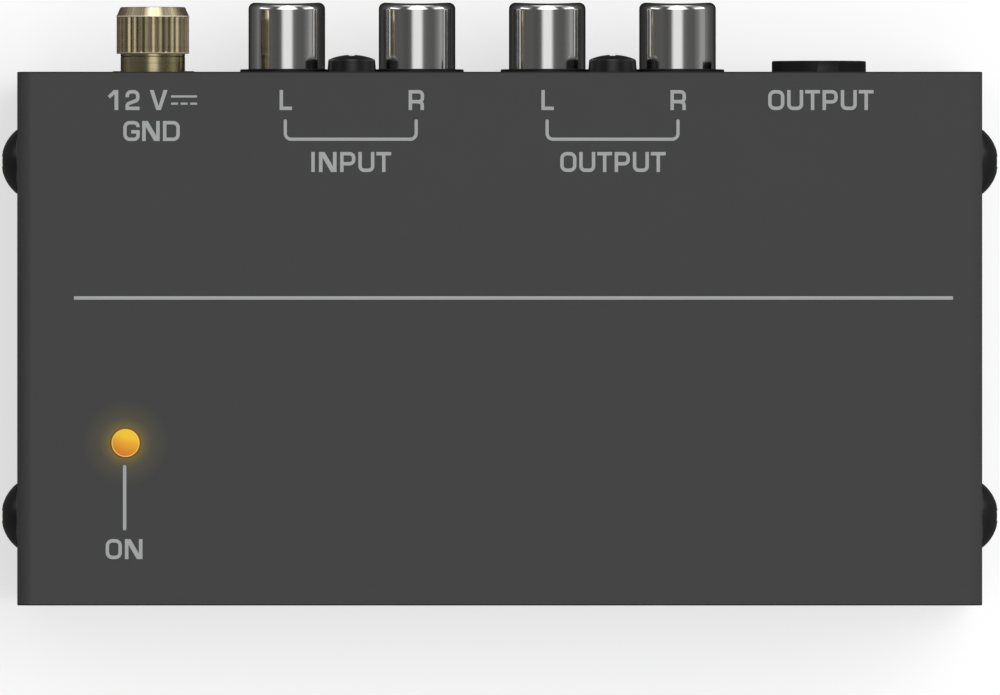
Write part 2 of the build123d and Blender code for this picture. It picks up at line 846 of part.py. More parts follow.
# ---------------------------------------------------------------- quarter-inch socket
bore_radius = jack_bore / 2
snout_end = rear_y + snout_reach
leaf_touch = bore_radius + leaf_sheet / 2 + leaf_clear
leaf_rest = bore_radius + leaf_lift
tip_touch = jack_back + tip_spring_depth
ring_touch = jack_back + ring_spring_depth
sleeve_touch = jack_back + sleeve_spring_depth

with BuildPart() as jack_socket:
    with BuildSketch(upright(rear_panel_inner)):
        with Locations((jack_x, (board_top + jack_top) / 2)):
            Rectangle(jack_width, jack_top - board_top)
    extrude(amount=jack_depth)
    chamfer(jack_socket.edges().filter_by(Axis.Y).group_by(Axis.Z)[-1], block_edge)
    with BuildSketch(upright(rear_panel_inner)):
        with Locations((jack_x, socket_axis)):
            Circle(snout_diameter / 2)
    extrude(amount=rear_panel_inner - snout_end)
    chamfer(jack_socket.faces().sort_by(Axis.Y)[-1].edges(), snout_bevel)
    with BuildSketch(upright(snout_end)):
        with Locations((jack_x, socket_axis)):
            Circle(bore_radius)
    extrude(amount=snout_end - jack_back - jack_end_wall, mode=Mode.SUBTRACT)
    # Slots for the leaf springs: the tip's is open at the top and back, the others at the sides.
    with BuildSketch(level(jack_top)):
        with Locations((jack_x, jack_back)):
            tip_slot_length = tip_touch - jack_back + leaf_lead_in + leaf_sheet
            Rectangle(leaf_slot, tip_slot_length, align=(Align.CENTER, Align.MIN))
    extrude(amount=socket_axis - jack_top, mode=Mode.SUBTRACT)
    for slot_side, touch in ((1, ring_touch), (-1, sleeve_touch)):
        slot_align = Align.MIN if slot_side > 0 else Align.MAX
        with BuildSketch(level(socket_axis - leaf_slot / 2)):
            with Locations((jack_x, touch + leaf_lead_in + leaf_sheet)):
                Rectangle(
                    jack_width / 2,
                    side_leaf_run + leaf_lead_in + 2 * leaf_sheet,
                    align=(slot_align, Align.MAX),
                )
        extrude(amount=leaf_slot, mode=Mode.SUBTRACT)
finish(jack_socket, "jack_socket")

with BuildPart() as jack_tip_spring:
    with BuildSketch(sideways(jack_x)):
        with BuildLine():
            FilletPolyline(
                (tip_touch + leaf_lead_in, socket_axis + leaf_touch + leaf_flare),
                (tip_touch, socket_axis + leaf_touch),
                (tip_touch - leaf_lead_in, socket_axis + leaf_rest),
                (jack_back - leaf_sheet, socket_axis + leaf_rest),
                (jack_back - leaf_sheet, lead_end),
                radius=leaf_bend,
            )
        trace(line_width=leaf_sheet)
    extrude(amount=leaf_width / 2, both=True)
board_holes.append((jack_x, jack_back - leaf_sheet, leaf_width + 2 * lead_gap))
finish(jack_tip_spring, "jack_tip_spring")


def make_side_spring(label, side_sign, touch):
    """Leaf spring in a side slot: it leans to the bore, runs forward and turns out to its tail."""
    tail_x = jack_x + side_sign * (jack_width / 2 + leaf_sheet)
    end_y = touch - side_leaf_run + leaf_sheet
    with BuildPart() as spring:
        with BuildSketch(level(socket_axis)):
            with BuildLine():
                FilletPolyline(
                    (jack_x + side_sign * (leaf_touch + leaf_flare), touch + leaf_lead_in),
                    (jack_x + side_sign * leaf_touch, touch),
                    (jack_x + side_sign * leaf_rest, touch - leaf_lead_in),
                    (jack_x + side_sign * leaf_rest, end_y),
                    (tail_x + side_sign * leaf_sheet / 2, end_y),
                    radius=leaf_bend,
                )
            trace(line_width=leaf_sheet)
        extrude(amount=leaf_width / 2, both=True)
        with BuildSketch(sideways(tail_x - leaf_sheet / 2)):
            with Locations((end_y, socket_axis + leaf_width / 2)):
                tail_length = socket_axis + leaf_width / 2 - lead_end
                Rectangle(tail_width, tail_length, align=(Align.CENTER, Align.MAX))
        extrude(amount=leaf_sheet)
    board_holes.append((tail_x, end_y, tail_width + 2 * lead_gap))
    finish(spring, label)


make_side_spring("jack_ring_spring", 1, ring_touch)
make_side_spring("jack_sleeve_spring", -1, sleeve_touch)

# ---------------------------------------------------------------- lamp
led_plane = lathe((led_x, led_y, led_bottom), (0, 0, 1))
led_radius = led_diameter / 2
with BuildPart() as led_lamp:
    with BuildSketch(led_plane):
        with BuildLine():
            Polyline(
                (0, led_height),
                (0, 0),
                (led_flange_diameter / 2, 0),
                (led_flange_diameter / 2, led_flange_height),
                (led_radius, led_flange_height),
                (led_radius, led_height - led_radius),
            )
            TangentArc((0, led_height), (led_radius, led_height - led_radius), tangent=(1, 0))
        make_face()
    spin(led_plane)
finish(led_lamp, "led_lamp")

led_lead_spots = [(led_x - led_lead_pitch / 2, led_y), (led_x + led_lead_pitch / 2, led_y)]
with BuildPart() as led_spacer:
    with BuildSketch(level(board_top)):
        with Locations((led_x, led_y)):
            Circle(led_spacer_diameter / 2)
        with Locations(*led_lead_spots):
            Circle(led_lead_width / 2 + lead_gap + press_gap, mode=Mode.SUBTRACT)
    extrude(amount=led_bottom - board_top)
finish(led_spacer, "led_spacer")

with BuildPart() as led_leads:
    with BuildSketch(level(led_bottom)):
        with Locations(*led_lead_spots):
            Circle(led_lead_width / 2)
    extrude(amount=lead_end - led_bottom)
board_holes.extend((x, y, led_lead_width + 2 * lead_gap) for x, y in led_lead_spots)
finish(led_leads, "led_leads")


# ---------------------------------------------------------------- parts on the circuit board
def make_can_capacitor(label, spot, diameter, height):
    """Electrolytic can with a rolled neck near its base and a rounded top edge."""
    x, y = spot
    radius = diameter / 2
    plane = lathe((x, y, board_top), (0, 0, 1))
    with BuildPart() as can:
        with BuildSketch(plane) as section:
            with BuildLine():
                Polyline(
                    (0, 0),
                    (radius, 0),
                    (radius, can_neck_height - can_neck),
                    (radius - can_neck, can_neck_height),
                    (radius, can_neck_height + can_neck),
                    (radius, height),
                    (0, height),
                    close=True,
                )
            make_face()
            top_corner = section.vertices().group_by(Axis.Y)[-1].sort_by(Axis.X)[-1]
            fillet(top_corner, can_neck)
        spin(plane)
        drop_leads([(x - can_lead_pitch / 2, y), (x + can_lead_pitch / 2, y)], wire_lead)
    finish(can, label)


def make_film_capacitor(label, spot):
    """Boxed film capacitor standing on its two leads."""
    x, y = spot
    with BuildPart() as film:
        with BuildSketch(level(board_top)):
            with Locations((x, y)):
                Rectangle(film_length, film_thickness)
        extrude(amount=film_height)
        chamfer(film.faces().sort_by(Axis.Z)[-1].edges(), film_edge)
        drop_leads([(x - film_lead_pitch / 2, y), (x + film_lead_pitch / 2, y)], wire_lead)
    finish(film, label)


def make_amplifier_chip(label, spot):
    """Eight-pin chip in a moulded package with a notch at its left end."""
    x, y = spot
    pin_rows = chip_row_pitch / 2
    first_pin_x = x - (chip_pins_a_side - 1) * chip_pin_pitch / 2
    pin_xs = [first_pin_x + index * chip_pin_pitch for index in range(chip_pins_a_side)]
    pin_top = board_top + chip_lift + chip_height / 2
    with BuildPart() as chip:
        with BuildSketch(level(board_top + chip_lift)):
            with Locations((x, y)):
                Rectangle(chip_length, chip_width)
            with Locations((x - chip_length / 2, y)):
                Circle(chip_notch, mode=Mode.SUBTRACT)
        extrude(amount=chip_height)
        for row_sign in (-1, 1):
            shoulder_y = y + row_sign * chip_width / 2
            outer_y = y + row_sign * (pin_rows + chip_pin_sheet / 2)
            inner_y = y + row_sign * (pin_rows - chip_pin_sheet / 2)
            for pin_x in pin_xs:
                with BuildSketch(sideways(pin_x - chip_pin_width / 2)):
                    with BuildLine():
                        Polyline(
                            (shoulder_y, pin_top),
                            (outer_y, pin_top),
                            (outer_y, lead_end),
                            (inner_y, lead_end),
                            (inner_y, pin_top - chip_pin_sheet),
                            (shoulder_y, pin_top - chip_pin_sheet),
                            close=True,
                        )
                    make_face()
                extrude(amount=chip_pin_width)
                board_holes.append((pin_x, y + row_sign * pin_rows, chip_pin_width + 2 * lead_gap))
    finish(chip, label)


def make_resistors(label, centre_x, rows):
    """Row of axial resistors: each is a waisted body on a wire bent down at both ends."""
    half = resistor_lead_pitch / 2
    wire_z = board_top + resistor_diameter / 2
    waist = resistor_diameter / 2 - resistor_waist
    with BuildPart() as resistors:
        for y in rows:
            axis_plane = lathe((centre_x - resistor_length / 2, y, wire_z), (1, 0, 0))
            with BuildSketch(axis_plane):
                with BuildLine():
                    Polyline(
                        (0, 0),
                        (resistor_diameter / 2, 0),
                        (resistor_diameter / 2, resistor_cap),
                        (waist, resistor_cap + resistor_waist),
                        (waist, resistor_length - resistor_cap - resistor_waist),
                        (resistor_diameter / 2, resistor_length - resistor_cap),
                        (resistor_diameter / 2, resistor_length),
                        (0, resistor_length),
                        close=True,
                    )
                make_face()
            revolve(axis=Axis(axis_plane.origin, axis_plane.y_dir))
            with BuildLine():
                FilletPolyline(
                    (centre_x - half, y, lead_end),
                    (centre_x - half, y, wire_z),
                    (centre_x + half, y, wire_z),
                    (centre_x + half, y, lead_end),
                    radius=wire_lead,
                )
            with BuildSketch(level(lead_end)):
                with Locations((centre_x - half, y)):
                    Circle(wire_lead / 2)
            sweep()
            for lead_x in (centre_x - half, centre_x + half):
                board_holes.append((lead_x, y, wire_lead + 2 * lead_gap))
    finish(resistors, label)


chip_row = block_back - chip_row_gap
film_row = chip_row - film_row_step
can_row = film_row - can_row_step
resistor_ys = [board_front + resistor_margin + row * resistor_spacing for row in range(resistor_rows)]
middle_x = bank_x - channel_shift
channel_xs = {"left": middle_x - channel_spacing / 2, "right": middle_x + channel_spacing / 2}
for channel_name, channel_x in channel_xs.items():
    make_amplifier_chip(f"amplifier_chip_{channel_name}", (channel_x + chip_offset, chip_row))
    make_film_capacitor(f"film_capacitor_{channel_name}_bass", (channel_x, film_row))
    make_film_capacitor(f"film_capacitor_{channel_name}_treble", (channel_x + film_offset, film_row))
    can_spot = (channel_x, can_row)
    make_can_capacitor(
        f"coupling_capacitor_{channel_name}", can_spot, coupling_can_diameter, coupling_can_height
    )
    make_resistors(f"resistors_{channel_name}", channel_x + resistor_offset, resistor_ys)

main_can_spot = (power_x + main_can_offset_x, power_back - main_can_offset_y)
make_can_capacitor("supply_capacitor_main", main_can_spot, main_can_diameter, main_can_height)
reserve_can_x = standoff_inset_x - board_side + (pan_diameter + reserve_can_diameter) / 2 + part_gap
make_can_capacitor(
    "supply_capacitor_reserve",
    (reserve_can_x, board_front + reserve_can_offset_y),
    reserve_can_diameter,
    reserve_can_height,
)

regulator_x = power_x + main_can_offset_x
regulator_y = main_can_spot[1] - (main_can_diameter + regulator_diameter) / 2 - part_gap
regulator_leads = [(regulator_x + index * regulator_lead_pitch, regulator_y) for index in (-1, 0, 1)]
with BuildPart() as voltage_regulator:
    with BuildSketch(level(board_top + regulator_lift)):
        with Locations((regulator_x, regulator_y)):
            Circle(regulator_diameter / 2)
        with Locations((regulator_x, regulator_y - regulator_flat)):
            Rectangle(
                regulator_diameter,
                regulator_diameter,
                align=(Align.CENTER, Align.MAX),
                mode=Mode.SUBTRACT,
            )
    extrude(amount=regulator_height)
    with BuildSketch(level(board_top + regulator_lift)):
        with Locations(*regulator_leads):
            Circle(led_lead_width / 2)
    extrude(amount=lead_end - board_top - regulator_lift)
board_holes.extend((x, y, led_lead_width + 2 * lead_gap) for x, y in regulator_leads)
finish(voltage_regulator, "voltage_regulator")

# ---------------------------------------------------------------- circuit board
with BuildPart() as circuit_board:
    with BuildSketch(level(board_bottom)):
        with Locations((0, (board_front + board_rear) / 2)):
            RectangleRounded(2 * board_side, board_rear - board_front, board_corner)
        with Locations(*standoff_spots):
            Circle(screw_hole_radius, mode=Mode.SUBTRACT)
        for hole_x, hole_y, hole_diameter in board_holes:
            with Locations((hole_x, hole_y)):
                Circle(hole_diameter / 2, mode=Mode.SUBTRACT)
    extrude(amount=board_thickness)
finish(circuit_board, "circuit_board")
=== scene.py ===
import json
import math

import bmesh
import bpy
from mathutils import Matrix, Vector

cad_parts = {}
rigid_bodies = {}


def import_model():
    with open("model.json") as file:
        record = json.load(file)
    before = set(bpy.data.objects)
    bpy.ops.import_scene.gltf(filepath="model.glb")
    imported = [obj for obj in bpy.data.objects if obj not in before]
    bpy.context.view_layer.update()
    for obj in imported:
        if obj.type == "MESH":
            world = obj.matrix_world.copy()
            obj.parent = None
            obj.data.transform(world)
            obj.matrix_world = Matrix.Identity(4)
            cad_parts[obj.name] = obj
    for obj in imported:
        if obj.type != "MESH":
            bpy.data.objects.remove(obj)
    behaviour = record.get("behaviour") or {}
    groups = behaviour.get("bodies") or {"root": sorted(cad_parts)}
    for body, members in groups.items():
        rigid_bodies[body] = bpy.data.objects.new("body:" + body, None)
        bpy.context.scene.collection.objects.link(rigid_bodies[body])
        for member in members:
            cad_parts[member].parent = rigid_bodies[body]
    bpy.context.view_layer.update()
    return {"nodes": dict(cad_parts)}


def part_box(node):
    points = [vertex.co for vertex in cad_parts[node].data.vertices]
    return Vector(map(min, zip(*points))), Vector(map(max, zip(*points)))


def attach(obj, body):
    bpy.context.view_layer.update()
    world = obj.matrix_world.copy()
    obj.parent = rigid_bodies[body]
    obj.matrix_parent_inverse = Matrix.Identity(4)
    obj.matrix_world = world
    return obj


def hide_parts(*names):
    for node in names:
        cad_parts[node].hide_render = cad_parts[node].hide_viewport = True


# A phono preamplifier in a folded steel case. Pieces are modelled in millimetres, in the frame
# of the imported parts, and settled into metres when they are finished.

for leftover in list(bpy.data.objects):
    bpy.data.objects.remove(leftover)

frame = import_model()

MM = 0.001
MERGE_GAP = 0.0005
FULL_TURN = 2 * math.pi
QUARTER_TURN = math.pi / 2
REARWARD = (0, 1, 0)


def span(node):
    """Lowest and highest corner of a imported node, in millimetres."""
    low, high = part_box(node)
    return low / MM, high / MM


def middle(node):
    low, high = span(node)
    return (low + high) / 2


# ---- sizes, in millimetres
SHEET = 1.0
BEND_OUTSIDE = 1.6
BEND_FACETS = 12
WALL_CORNER = 1.0
CORNER_FACETS = 8
EDGE_SOFTNESS = 0.09
HOUSING_SOFTNESS = 0.07
SCREW_HOLE = 1.7
LAMP_HOLE = 1.67

TRUSS_RADIUS = 3.45
TRUSS_FOOT = (0.1, 0.08)
TRUSS_RIM = 0.3
TRUSS_HEIGHT = 1.95
TRUSS_CROSS = (2.4, 1.1)
TRUSS_SHANK = 5.0
TRUSS_STEPS = 16
PAN_RADIUS = 2.65
PAN_FLANK = 0.2
PAN_SHOULDER = (2.53, 1.62)
PAN_ROUND = 0.25
PAN_HEIGHT = 2.15
PAN_CROSS = (2.8, 0.6)
PAN_SHANK = 8.0
PAN_STEPS = 12
CROSS_DEPTH = 1.3
CROSS_FLOOR = 0.9
CUT_SPARE = 0.1
SHANK_RADIUS = 1.5
THREAD_PITCH = 0.5

BARREL_RADIUS = 4.15
BARREL_BORE = 3.25
BARREL_ROOT = 3.95
BARREL_SUNK = 3.0
BARREL_STEP = 0.04
BARREL_RIM = 0.76
BARREL_DIP = 0.2
BARREL_END = 32.595
BARREL_LIP = 0.12
INSULATOR_PLAY = 0.02
INSULATOR_MOUTH = 1.85
INSULATOR_EDGE = 0.15
INSULATOR_RECESS = 0.6
CONTACT_BORE = 1.65
CONTACT_WALL = 0.45

STUD_RADIUS = 2.0
STUD_CHAMFER = 0.4
STUD_THREAD = 0.22
STUD_PLAIN_END = 0.6
COLLAR_RADIUS = 3.475
COLLAR_SUNK = 0.2
COLLAR_EDGE = 0.06
WASHER_BORE = 2.15
WASHER_EDGE = 0.05
KNURL_TEETH = 32
KNURL_PROFILE = (0, 0, 0, 0.5, 1, 1, 0.5)
KNURL_DEPTH = 0.17
KNURL_INSET = 0.05
KNURL_RUNOUT = 0.06
NUT_BORE = 2.05
NUT_MOUTH = 0.15
NUT_DISH = 0.3
NUT_LIP = 3.96
NUT_LIP_WIDTH = 0.12
NUT_LIP_ROUND = (0.09, 0.01)
NUT_LIP_SLOPE = 0.02
NUT_BEVEL_LENGTH = 0.95
NUT_BEVEL_FOOT = (0.07, 0.08)
NUT_TOP = 3.5
NUT_TOP_ROUND = (0.08, 0.05)

SNOUT_EDGE = 0.1
SNOUT_LENGTH = 1.0
SNOUT_NEAR = (0.02, 0.01)
LENS_RADIUS = 1.55
LENS_FLANGE = 1.9
LENS_STEPS = 24
FLANGE_HEIGHT = 1.0
FOOT_CHAMFER = 0.6
FOOT_ROUND = 0.25
FOOT_TOP_ROUND = 0.15

CAP_HEIGHT = 2.155
STROKE = 0.37
THIN_STROKE = 0.225
INK = 0.02
INK_SUNK = 0.01
PRINT_SHIFT = -0.045
ROW_PITCH = 3.335
FIRST_ROW_INSET = 4.13
VOLTS_SHIFT = -1.52
DIRECT_GAP = 0.32
BRACKET_STROKE = 0.34
BRACKET_CORNER = 0.62
BRACKET_TOP_INSET = 5.3
BRACKET_BASE_INSET = 7.27
RULE_INSET = 24.37
RULE_ENDS = (-45.86, 48.82)
LAMP_PRINT_SHIFT = -0.09
LAMP_LINE = (-17.64, -24.32)
LAMP_WORD = (-0.05, -27.6)


# ---- modelling steps
def only(piece):
    """Select one piece alone and make it the active one."""
    bpy.ops.object.select_all(action="DESELECT")
    piece.select_set(True)
    bpy.context.view_layer.objects.active = piece


def open_edit(piece):
    only(piece)
    bpy.ops.object.mode_set(mode="EDIT")


def close_edit():
    bpy.ops.object.mode_set(mode="OBJECT")


def pick(piece, kind, test):
    """In edit mode, select the vertices, edges or faces that pass a test."""
    bpy.ops.mesh.select_mode(type=kind)
    bpy.ops.mesh.select_all(action="DESELECT")
    mesh = bmesh.from_edit_mesh(piece.data)
    items = {"VERT": mesh.verts, "EDGE": mesh.edges, "FACE": mesh.faces}[kind]
    for item in items:
        if test(item):
            item.select_set(True)
    mesh.select_flush_mode()
    bmesh.update_edit_mesh(piece.data)


def apply_modifier(piece, kind, **settings):
    """Add a modifier with its settings and apply it."""
    only(piece)
    modifier = piece.modifiers.new(kind.lower(), kind)
    for setting, value in settings.items():
        setattr(modifier, setting, value)
    bpy.ops.object.modifier_apply(modifier=modifier.name)


def discard(piece):
    bpy.data.objects.remove(piece)


def cylinder(sides, radius, depth, location, rotation=(0, 0, 0)):
    size = {"vertices": sides, "radius": radius, "depth": depth}
    bpy.ops.mesh.primitive_cylinder_add(**size, location=location, rotation=rotation)
    return bpy.context.object


def carve(piece, tools, operation="DIFFERENCE"):
    """Cut tools out of a piece, or unite them with it, and throw them away."""
    tool = join(tools, "tool")
    set_in_mesh(tool)
    apply_modifier(piece, "BOOLEAN", object=tool, operation=operation, solver="EXACT")
    discard(tool)


def weld():
    """In edit mode, close the seams of the whole mesh and point its faces outwards."""
    bpy.ops.mesh.select_all(action="SELECT")
    bpy.ops.mesh.remove_doubles(threshold=MERGE_GAP)
    bpy.ops.mesh.select_all(action="SELECT")
    bpy.ops.mesh.normals_make_consistent(inside=False)


def smooth(piece, degrees=35):
    only(piece)
    bpy.ops.object.shade_smooth_by_angle(angle=math.radians(degrees))


def soften(piece, width, segments=2, limit=40):
    """Break the sharp edges of a piece, and keep its flat faces flat."""
    edges = {"limit_method": "ANGLE", "angle_limit": math.radians(limit), "harden_normals": False}
    apply_modifier(piece, "BEVEL", width=width, segments=segments, **edges)
    smooth(piece)


def set_in_mesh(piece):
    """Put an object's place, turn and size into its mesh."""
    only(piece)
    bpy.ops.object.transform_apply(location=True, rotation=True, scale=True)


def place(piece, origin, direction=(0, 0, 1)):
    """Turn a piece's own Z to a direction and move it to origin."""
    turn = Vector((0, 0, 1)).rotation_difference(Vector(direction))
    piece.matrix_world = Matrix.Translation(Vector(origin)) @ turn.to_matrix().to_4x4()
    set_in_mesh(piece)
    return piece


def clone(piece, name):
    """A copy with its own mesh."""
    twin = piece.copy()
    twin.data = piece.data.copy()
    twin.name = name
    bpy.context.scene.collection.objects.link(twin)
    return twin


def join(pieces, name):
    only(pieces[0])
    for piece in pieces[1:]:
        piece.select_set(True)
    if len(pieces) > 1:
        bpy.ops.object.join()
    pieces[0].name = name
    return pieces[0]


def rounded(corners, closed=False, arc_steps=6):
    """Points of a path through corners, each (x, y) or (x, y, radius of its arc).

    A closed path ends on its first point.
    """
    points = []
    count = len(corners)
    for index, corner in enumerate(corners):
        here = Vector(corner[:2])
        at_end = not closed and index in (0, count - 1)
        if at_end or len(corner) < 3:
            points.append(here)
            continue
        back = (Vector(corners[index - 1][:2]) - here).normalized()
        ahead = (Vector(corners[(index + 1) % count][:2]) - here).normalized()
        half = back.angle(ahead) / 2
        radius = corner[2]
        centre = here + (back + ahead).normalized() * radius / math.sin(half)
        start = here + back * radius / math.tan(half) - centre
        sweep = math.pi - 2 * half
        if back.cross(ahead) > 0:
            sweep = -sweep
        for step in range(arc_steps + 1):
            points.append(centre + Matrix.Rotation(sweep * step / arc_steps, 2) @ start)
    return points + points[:1] if closed else points


def chain(name, points):
    """A row of edges through points, extruded on from one vertex. It is left in edit mode."""
    bpy.ops.object.select_all(action="DESELECT")
    bpy.ops.mesh.primitive_plane_add(size=1)
    piece = bpy.context.object
    piece.name = name
    bpy.ops.object.mode_set(mode="EDIT")
    bpy.ops.mesh.select_mode(type="VERT")
    bpy.ops.mesh.select_all(action="SELECT")
    bpy.ops.mesh.merge(type="CENTER")
    bpy.ops.transform.translate(value=points[0])
    for start, end in zip(points, points[1:]):
        step = Vector(end) - Vector(start)
        bpy.ops.mesh.extrude_vertices_move(TRANSFORM_OT_translate={"value": step})
    return piece


def turned(name, corners, closed=False, arc_steps=6, steps=96):
    """A piece turned about Z from an outline of (radius, height) corners, rounded or not."""
    outline = rounded(corners, closed, arc_steps)
    piece = chain(name, [(radius, 0, height) for radius, height in outline])
    bpy.ops.mesh.select_all(action="SELECT")
    bpy.ops.mesh.spin(steps=steps, angle=FULL_TURN, center=(0, 0, 0), axis=(0, 0, 1))
    weld()
    close_edit()
    smooth(piece)
    return piece


def settle(piece, body, finish_name, nodes=()):
    """Take a finished piece from millimetres to metres and tie it to its body and finish."""
    apply_modifier(piece, "WEIGHTED_NORMAL", keep_sharp=True, weight=100)
    piece.scale = (MM, MM, MM)
    set_in_mesh(piece)
    piece.data.materials.clear()
    piece.data.materials.append(FINISHES[finish_name])
    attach(piece, body)
    if nodes:
        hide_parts(*nodes)


# ---- finishes: node steps
def feed(tree, node, inputs):
    """Give a node its inputs: each one a value, or another node's output to link."""
    for label, value in inputs.items():
        if isinstance(value, bpy.types.NodeSocket):
            tree.links.new(value, node.inputs[label])
        else:
            node.inputs[label].default_value = value


def new_node(tree, kind, inputs=None, **settings):
    """A node with its settings and its inputs."""
    node = tree.nodes.new(kind)
    for setting, value in settings.items():
        setattr(node, setting, value)
    feed(tree, node, inputs or {})
    return node


def calc(tree, operation, *values, **settings):
    """A sum on numbers."""
    inputs = dict(enumerate(values))
    return new_node(tree, "ShaderNodeMath", inputs, operation=operation, **settings).outputs[0]


def vector(tree, operation, *values):
    """A sum on vectors."""
    node = new_node(tree, "ShaderNodeVectorMath", dict(enumerate(values)), operation=operation)
    return node.outputs["Value" if operation == "LENGTH" else "Vector"]


def remap(tree, value, start, end, low=0.0, high=1.0, soft=False):
    """A number taken from the range start to end into the range low to high."""
    inputs = {"Value": value, "From Min": start, "From Max": end, "To Min": low, "To Max": high}
    kind = "SMOOTHSTEP" if soft else "LINEAR"
    return new_node(tree, "ShaderNodeMapRange", inputs, interpolation_type=kind).outputs["Result"]


def mix(tree, share, first, second, kind="RGBA"):
    """A share of the second laid over the first."""
    inputs = {"Factor": share, "A": first, "B": second}
    return new_node(tree, "ShaderNodeMix", inputs, data_type=kind).outputs["Result"]


def noise(tree, spot, scale, detail, dimensions="3D"):
    """Cloudy numbers over a place, or along one number."""
    inputs = {"W" if dimensions == "1D" else "Vector": spot, "Scale": scale, "Detail": detail}
    node = new_node(tree, "ShaderNodeTexNoise", inputs, noise_dimensions=dimensions)
    return node.outputs["Fac"]


def opaque(colour):
    """A colour's four values, from its red, green and blue or from one level of grey."""
    return (*colour, 1) if isinstance(colour, tuple) else (colour, colour, colour, 1)


def ramp(tree, value, stops):
    """A colour by a number, from stops given as (number, colour)."""
    node = new_node(tree, "ShaderNodeValToRGB", {"Fac": value})
    elements = node.color_ramp.elements
    for index, (spot, colour) in enumerate(stops):
        if index == 0:
            element = elements[0]
        elif index == len(stops) - 1:
            element = elements[-1]
        else:
            element = elements.new(spot)
        element.position = spot
        element.color = opaque(colour)
    return node.outputs["Color"]


def object_place(tree):
    return new_node(tree, "ShaderNodeTexCoord").outputs["Object"]


def axes(tree, place_or_way):
    """The X, Y and Z of a vector."""
    return new_node(tree, "ShaderNodeSeparateXYZ", {"Vector": place_or_way}).outputs


def open_group(name, inputs):
    """A new node group, and the outputs of its input node: colours and numbers by name."""
    group = bpy.data.node_groups.new(name, "ShaderNodeTree")
    for label, default in inputs.items():
        kind = "NodeSocketColor" if isinstance(default, tuple) else "NodeSocketFloat"
        socket = group.interface.new_socket(label, in_out="INPUT", socket_type=kind)
        socket.default_value = default
    return group, new_node(group, "NodeGroupInput").outputs


def close_group(group, numbers=None, colours=None):
    """Give a group its outputs, each from the node output that makes it."""
    for outputs, kind in ((colours, "NodeSocketColor"), (numbers, "NodeSocketFloat")):
        for label in outputs or {}:
            group.interface.new_socket(label, in_out="OUTPUT", socket_type=kind)
    new_node(group, "NodeGroupOutput", {**(colours or {}), **(numbers or {})})
    return group


# ---- finishes: shared effects
GRAIN_SHARE = 0.35
LAMP_LEAN = 0.22
PAINTED_HALO_REACH = 3.0


def mottle_group():
    """Soft cloudy change between two tones and two gloss levels, with a fine grain on top."""
    tones = {"Tone A": opaque(0.5), "Tone B": opaque(0.6)}
    gloss = {"Roughness A": 0.4, "Roughness B": 0.5}
    scales = {"Cloud Scale": 60.0, "Grain Scale": 4000.0}
    group, given = open_group("mottle", {**tones, **gloss, **scales})
    spot = object_place(group)
    clouds = noise(group, spot, given["Cloud Scale"], 4)
    grain = noise(group, spot, given["Grain Scale"], 3)
    both = mix(group, GRAIN_SHARE, clouds, grain, "FLOAT")
    colour = mix(group, both, given["Tone A"], given["Tone B"])
    roughness = remap(group, both, 0, 1, given["Roughness A"], given["Roughness B"])
    return close_group(group, {"Roughness": roughness, "Height": grain}, {"Color": colour})


def turned_marks_group():
    """Fine rings left by the lathe, across the Y axis, with a few deeper ones."""
    group, given = open_group("turned_marks", {"Fine Scale": 9000.0, "Broad Scale": 1400.0})
    along = axes(group, object_place(group))["Y"]
    rings = []
    for scale in (given["Fine Scale"], given["Broad Scale"]):
        rings.append(noise(group, calc(group, "MULTIPLY", along, scale), 1, 2, "1D"))
    deeper = remap(group, rings[1], 0.55, 0.75, soft=True)
    return close_group(group, {"Height": calc(group, "ADD", *rings), "Mask": deeper})


def shade_stripes_group():
    """Masks for the thumb nut: painted stripes of light and shade along its knurl, painted shade in its
    groove roots, a painted highlight on each lip, and its metal share, lower under that highlight.
    """
    low, high = span("ground_thumb_nut")
    centre = middle("ground_thumb_nut")
    crest = NUT_LIP - KNURL_INSET
    knurl_end = high.y - NUT_BEVEL_LENGTH
    group, given = open_group("knurl_painted_shade", {"Stripes": 14.0})
    from_axis = vector(group, "SUBTRACT", object_place(group), (centre.x * MM, 0, centre.z * MM))
    spot = axes(group, from_axis)
    turn = calc(group, "ARCTAN2", spot["X"], spot["Z"])
    mask = remap(group, noise(group, turn, given["Stripes"], 1, "1D"), 0.42, 0.58)
    radius = vector(group, "LENGTH", vector(group, "MULTIPLY", from_axis, (1, 0, 1)))
    depth = remap(group, radius, (crest - KNURL_DEPTH / 3) * MM, (crest - KNURL_DEPTH) * MM)
    on_knurl = calc(group, "LESS_THAN", spot["Y"], (knurl_end - NUT_LIP_WIDTH) * MM)
    groove_shade = calc(group, "MULTIPLY", depth, on_knurl)
    near = []
    for lip in (low.y + NUT_LIP_WIDTH / 2, knurl_end - NUT_LIP_WIDTH / 2):
        near.append(calc(group, "COMPARE", spot["Y"], lip * MM, NUT_LIP_WIDTH * MM * 0.6))
    lip_highlight = calc(group, "MAXIMUM", *near)
    metal = remap(group, lip_highlight, 0, 1, 0.92, 0.35)
    return close_group(group, {"Mask": mask, "Groove Shade": groove_shade, "Lip Highlight": lip_highlight, "Metal": metal})


def worn_and_highlit_edge_group():
    """White along outer edges that stand proud, broken up so that it is uneven: rubbed edges, and on the
    knurled brass a painted highlight.
    """
    group, given = open_group("worn_and_highlit_edge", {"Edge Start": 0.53, "Edge Full": 0.62})
    pointed = new_node(group, "ShaderNodeNewGeometry").outputs["Pointiness"]
    proud = remap(group, pointed, given["Edge Start"], given["Edge Full"])
    uneven = remap(group, noise(group, object_place(group), 900, 3), 0.4, 0.6)
    return close_group(group, {"Mask": calc(group, "MULTIPLY", proud, uneven)})


